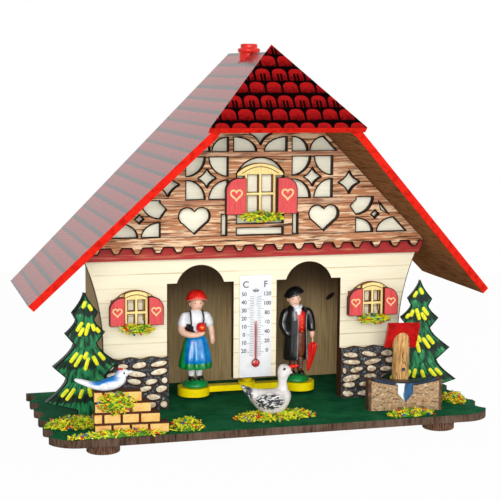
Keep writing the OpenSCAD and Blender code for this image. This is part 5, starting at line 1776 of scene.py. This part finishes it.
def addTrough():
    dress(sawnLogFinish(), "trough")
    dress(waterFinish(), "trough_water")
    dress(postFinish(), "well_post")
    dress(glossPaint("boardRed", rgb(208, 26, 26), rgb(176, 14, 18), 0.4, 0.2), "well_roof")

    # the dark rim where the paint runs over the sagging front edge
    reach, high, sag = troughSet["rimHalf"], troughSet["rimHigh"], troughSet["rimSag"]
    route = [(reach * share, troughSet["rimY"], high - sag * (1 - share * share), troughSet["rimRadius"])
             for share in (-1, -0.75, -0.5, -0.25, 0, 0.25, 0.5, 0.75, 1)]
    navy = glossPaint("rimNavy", rgb(36, 58, 82), rgb(20, 32, 46), 0.4, 0.2, 1.2)
    rim = applyPlace(paint(limb(route), navy), troughPlace, (0, 0, troughSet["turn"]))
    finishPiece(rim, "water_rim")

    # the dark spout hole: a raised ring round a sunk middle
    postFront = troughSet["depth"] + troughSet["postGap"]
    hole = applyPlace(turned(troughSet["spout"], 18), turn=(90, 0, 0))
    applyPlace(hole, Vector((troughSet["spoutX"], postFront, troughSet["spoutZ"])) * mm)
    applyPlace(paint(hole, black), troughPlace, (0, 0, troughSet["turn"]))
    finishPiece(hole, "spout_hole")


addTrough()
print("weather house: trough and well done")


# crumbs: coloured strips of foam glued on as grass and flowers

crumbSet = {
    "length": (1.4, 3.3),
    "wide": (0.4, 0.66),
    "thick": (0.25, 0.45),
    "tilt": ((-0.6, 0.6), (-0.7, 0.7), (0, 2 * math.pi)),
    "seed": 5,
    "colours": (  # name, colour and share
        ("crumbLime", rgb(204, 222, 40), 34), ("crumbYellow", rgb(255, 236, 60), 27),
        ("crumbGreen", rgb(84, 140, 34), 15), ("crumbOlive", rgb(160, 174, 30), 12),
        ("crumbRed", rgb(236, 60, 30), 8), ("crumbOrange", rgb(246, 144, 28), 4),
        ("crumbBlue", rgb(40, 92, 168), 4),
    ),
    "coreColour": 2,
    "coreSize": 0.8,
    "perArea": 2.1,  # strips on a square mm
    "atLeast": 30,
    "flat": 0.75,
    "spread": {"brick_top_tuft": (-1.6, 1.2)},  # shift in mm and widening of a straggling clump
}
tufts = ("tree_left_tuft", "brick_tuft", "brick_top_tuft", "step_tuft", "goose_tuft", "tree_right_tuft",
         "trough_tuft")
flowers = ("attic_flowers", "left_window_flowers", "right_window_flowers")


def crumbModel():
    # one short strip, thinner at one end and bent a little
    startFresh()
    bpy.ops.mesh.primitive_cube_add(size=mm)
    obj = bpy.context.object
    editAll(obj)
    bpy.ops.mesh.subdivide(number_cuts=1)
    bpy.ops.object.mode_set(mode="OBJECT")
    for vertex in obj.data.vertices:
        x = vertex.co.x / mm
        vertex.co.z += (0.35 * x * x - 0.04) * mm
        vertex.co.y *= 1 - 0.35 * x
    return obj


def addClump(node, model, finishes, dice):
    upright = node in flowers or node == "brick_top_tuft"  # clumps that hang on a wall
    low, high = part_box(node)
    shift, widen = crumbSet["spread"].get(node, (0, 1))
    middle = (low + high) / 2 + Vector((shift * mm, 0, 0))
    half = (high - low) / 2
    half.x *= widen
    if node in flowers:
        half.z *= crumbSet["flat"]  # the strips reach past the box that they stand in
    area = math.pi * half.x * (half.z if upright else half.y) / mm ** 2
    shares = [share for name, colour, share in crumbSet["colours"]]
    strips = []
    for i in range(int(crumbSet["perArea"] * area) + crumbSet["atLeast"]):
        angle, reach = dice.uniform(0, 2 * math.pi), math.sqrt(dice.random())
        across, up = reach * math.cos(angle), reach * math.sin(angle)
        bulge = math.sqrt(max(0, 1 - reach * reach)) * dice.uniform(0.35, 1.0)
        x = middle.x + across * half.x
        place = Vector((x, middle.y + up * half.y, low.z + bulge * 2 * half.z + 0.1 * mm))
        if upright:
            place = Vector((x, high.y - bulge * 2 * half.y, middle.z + up * half.z))
        strip = copyOf(model)
        strip.data.materials.append(dice.choices(finishes, shares)[0])
        strip.location = place
        strip.rotation_euler = [dice.uniform(*span) for span in crumbSet["tilt"]]
        strip.scale = [dice.uniform(*crumbSet[key]) for key in ("length", "wide", "thick")]
        strips.append(strip)
    core = ball(0, 0, 0, 1, 1, 1, 18)
    scale = [side * crumbSet["coreSize"] / mm for side in half]
    core.location = (middle.x, high.y if upright else middle.y, middle.z if upright else low.z)
    core.scale = (scale[0], scale[1] * (2 if upright else 1), scale[2] * (1 if upright else 2))
    clump = joinAll([paint(core, finishes[crumbSet["coreColour"]])] + strips)
    applyPlace(clump, scale=clump.scale)
    finishPiece(clump, node + "_crumbs", nodes=[node])


def addCrumbs():
    dice = random.Random(crumbSet["seed"])
    finishes = [glossPaint(name, colour, darker(colour, 0.8), 0.5, 0.1, 1.2)
                for name, colour, share in crumbSet["colours"]]
    model = crumbModel()
    for node in tufts + flowers:
        addClump(node, model, finishes, dice)
    remove(model)


addCrumbs()
print("weather house: crumbs done")
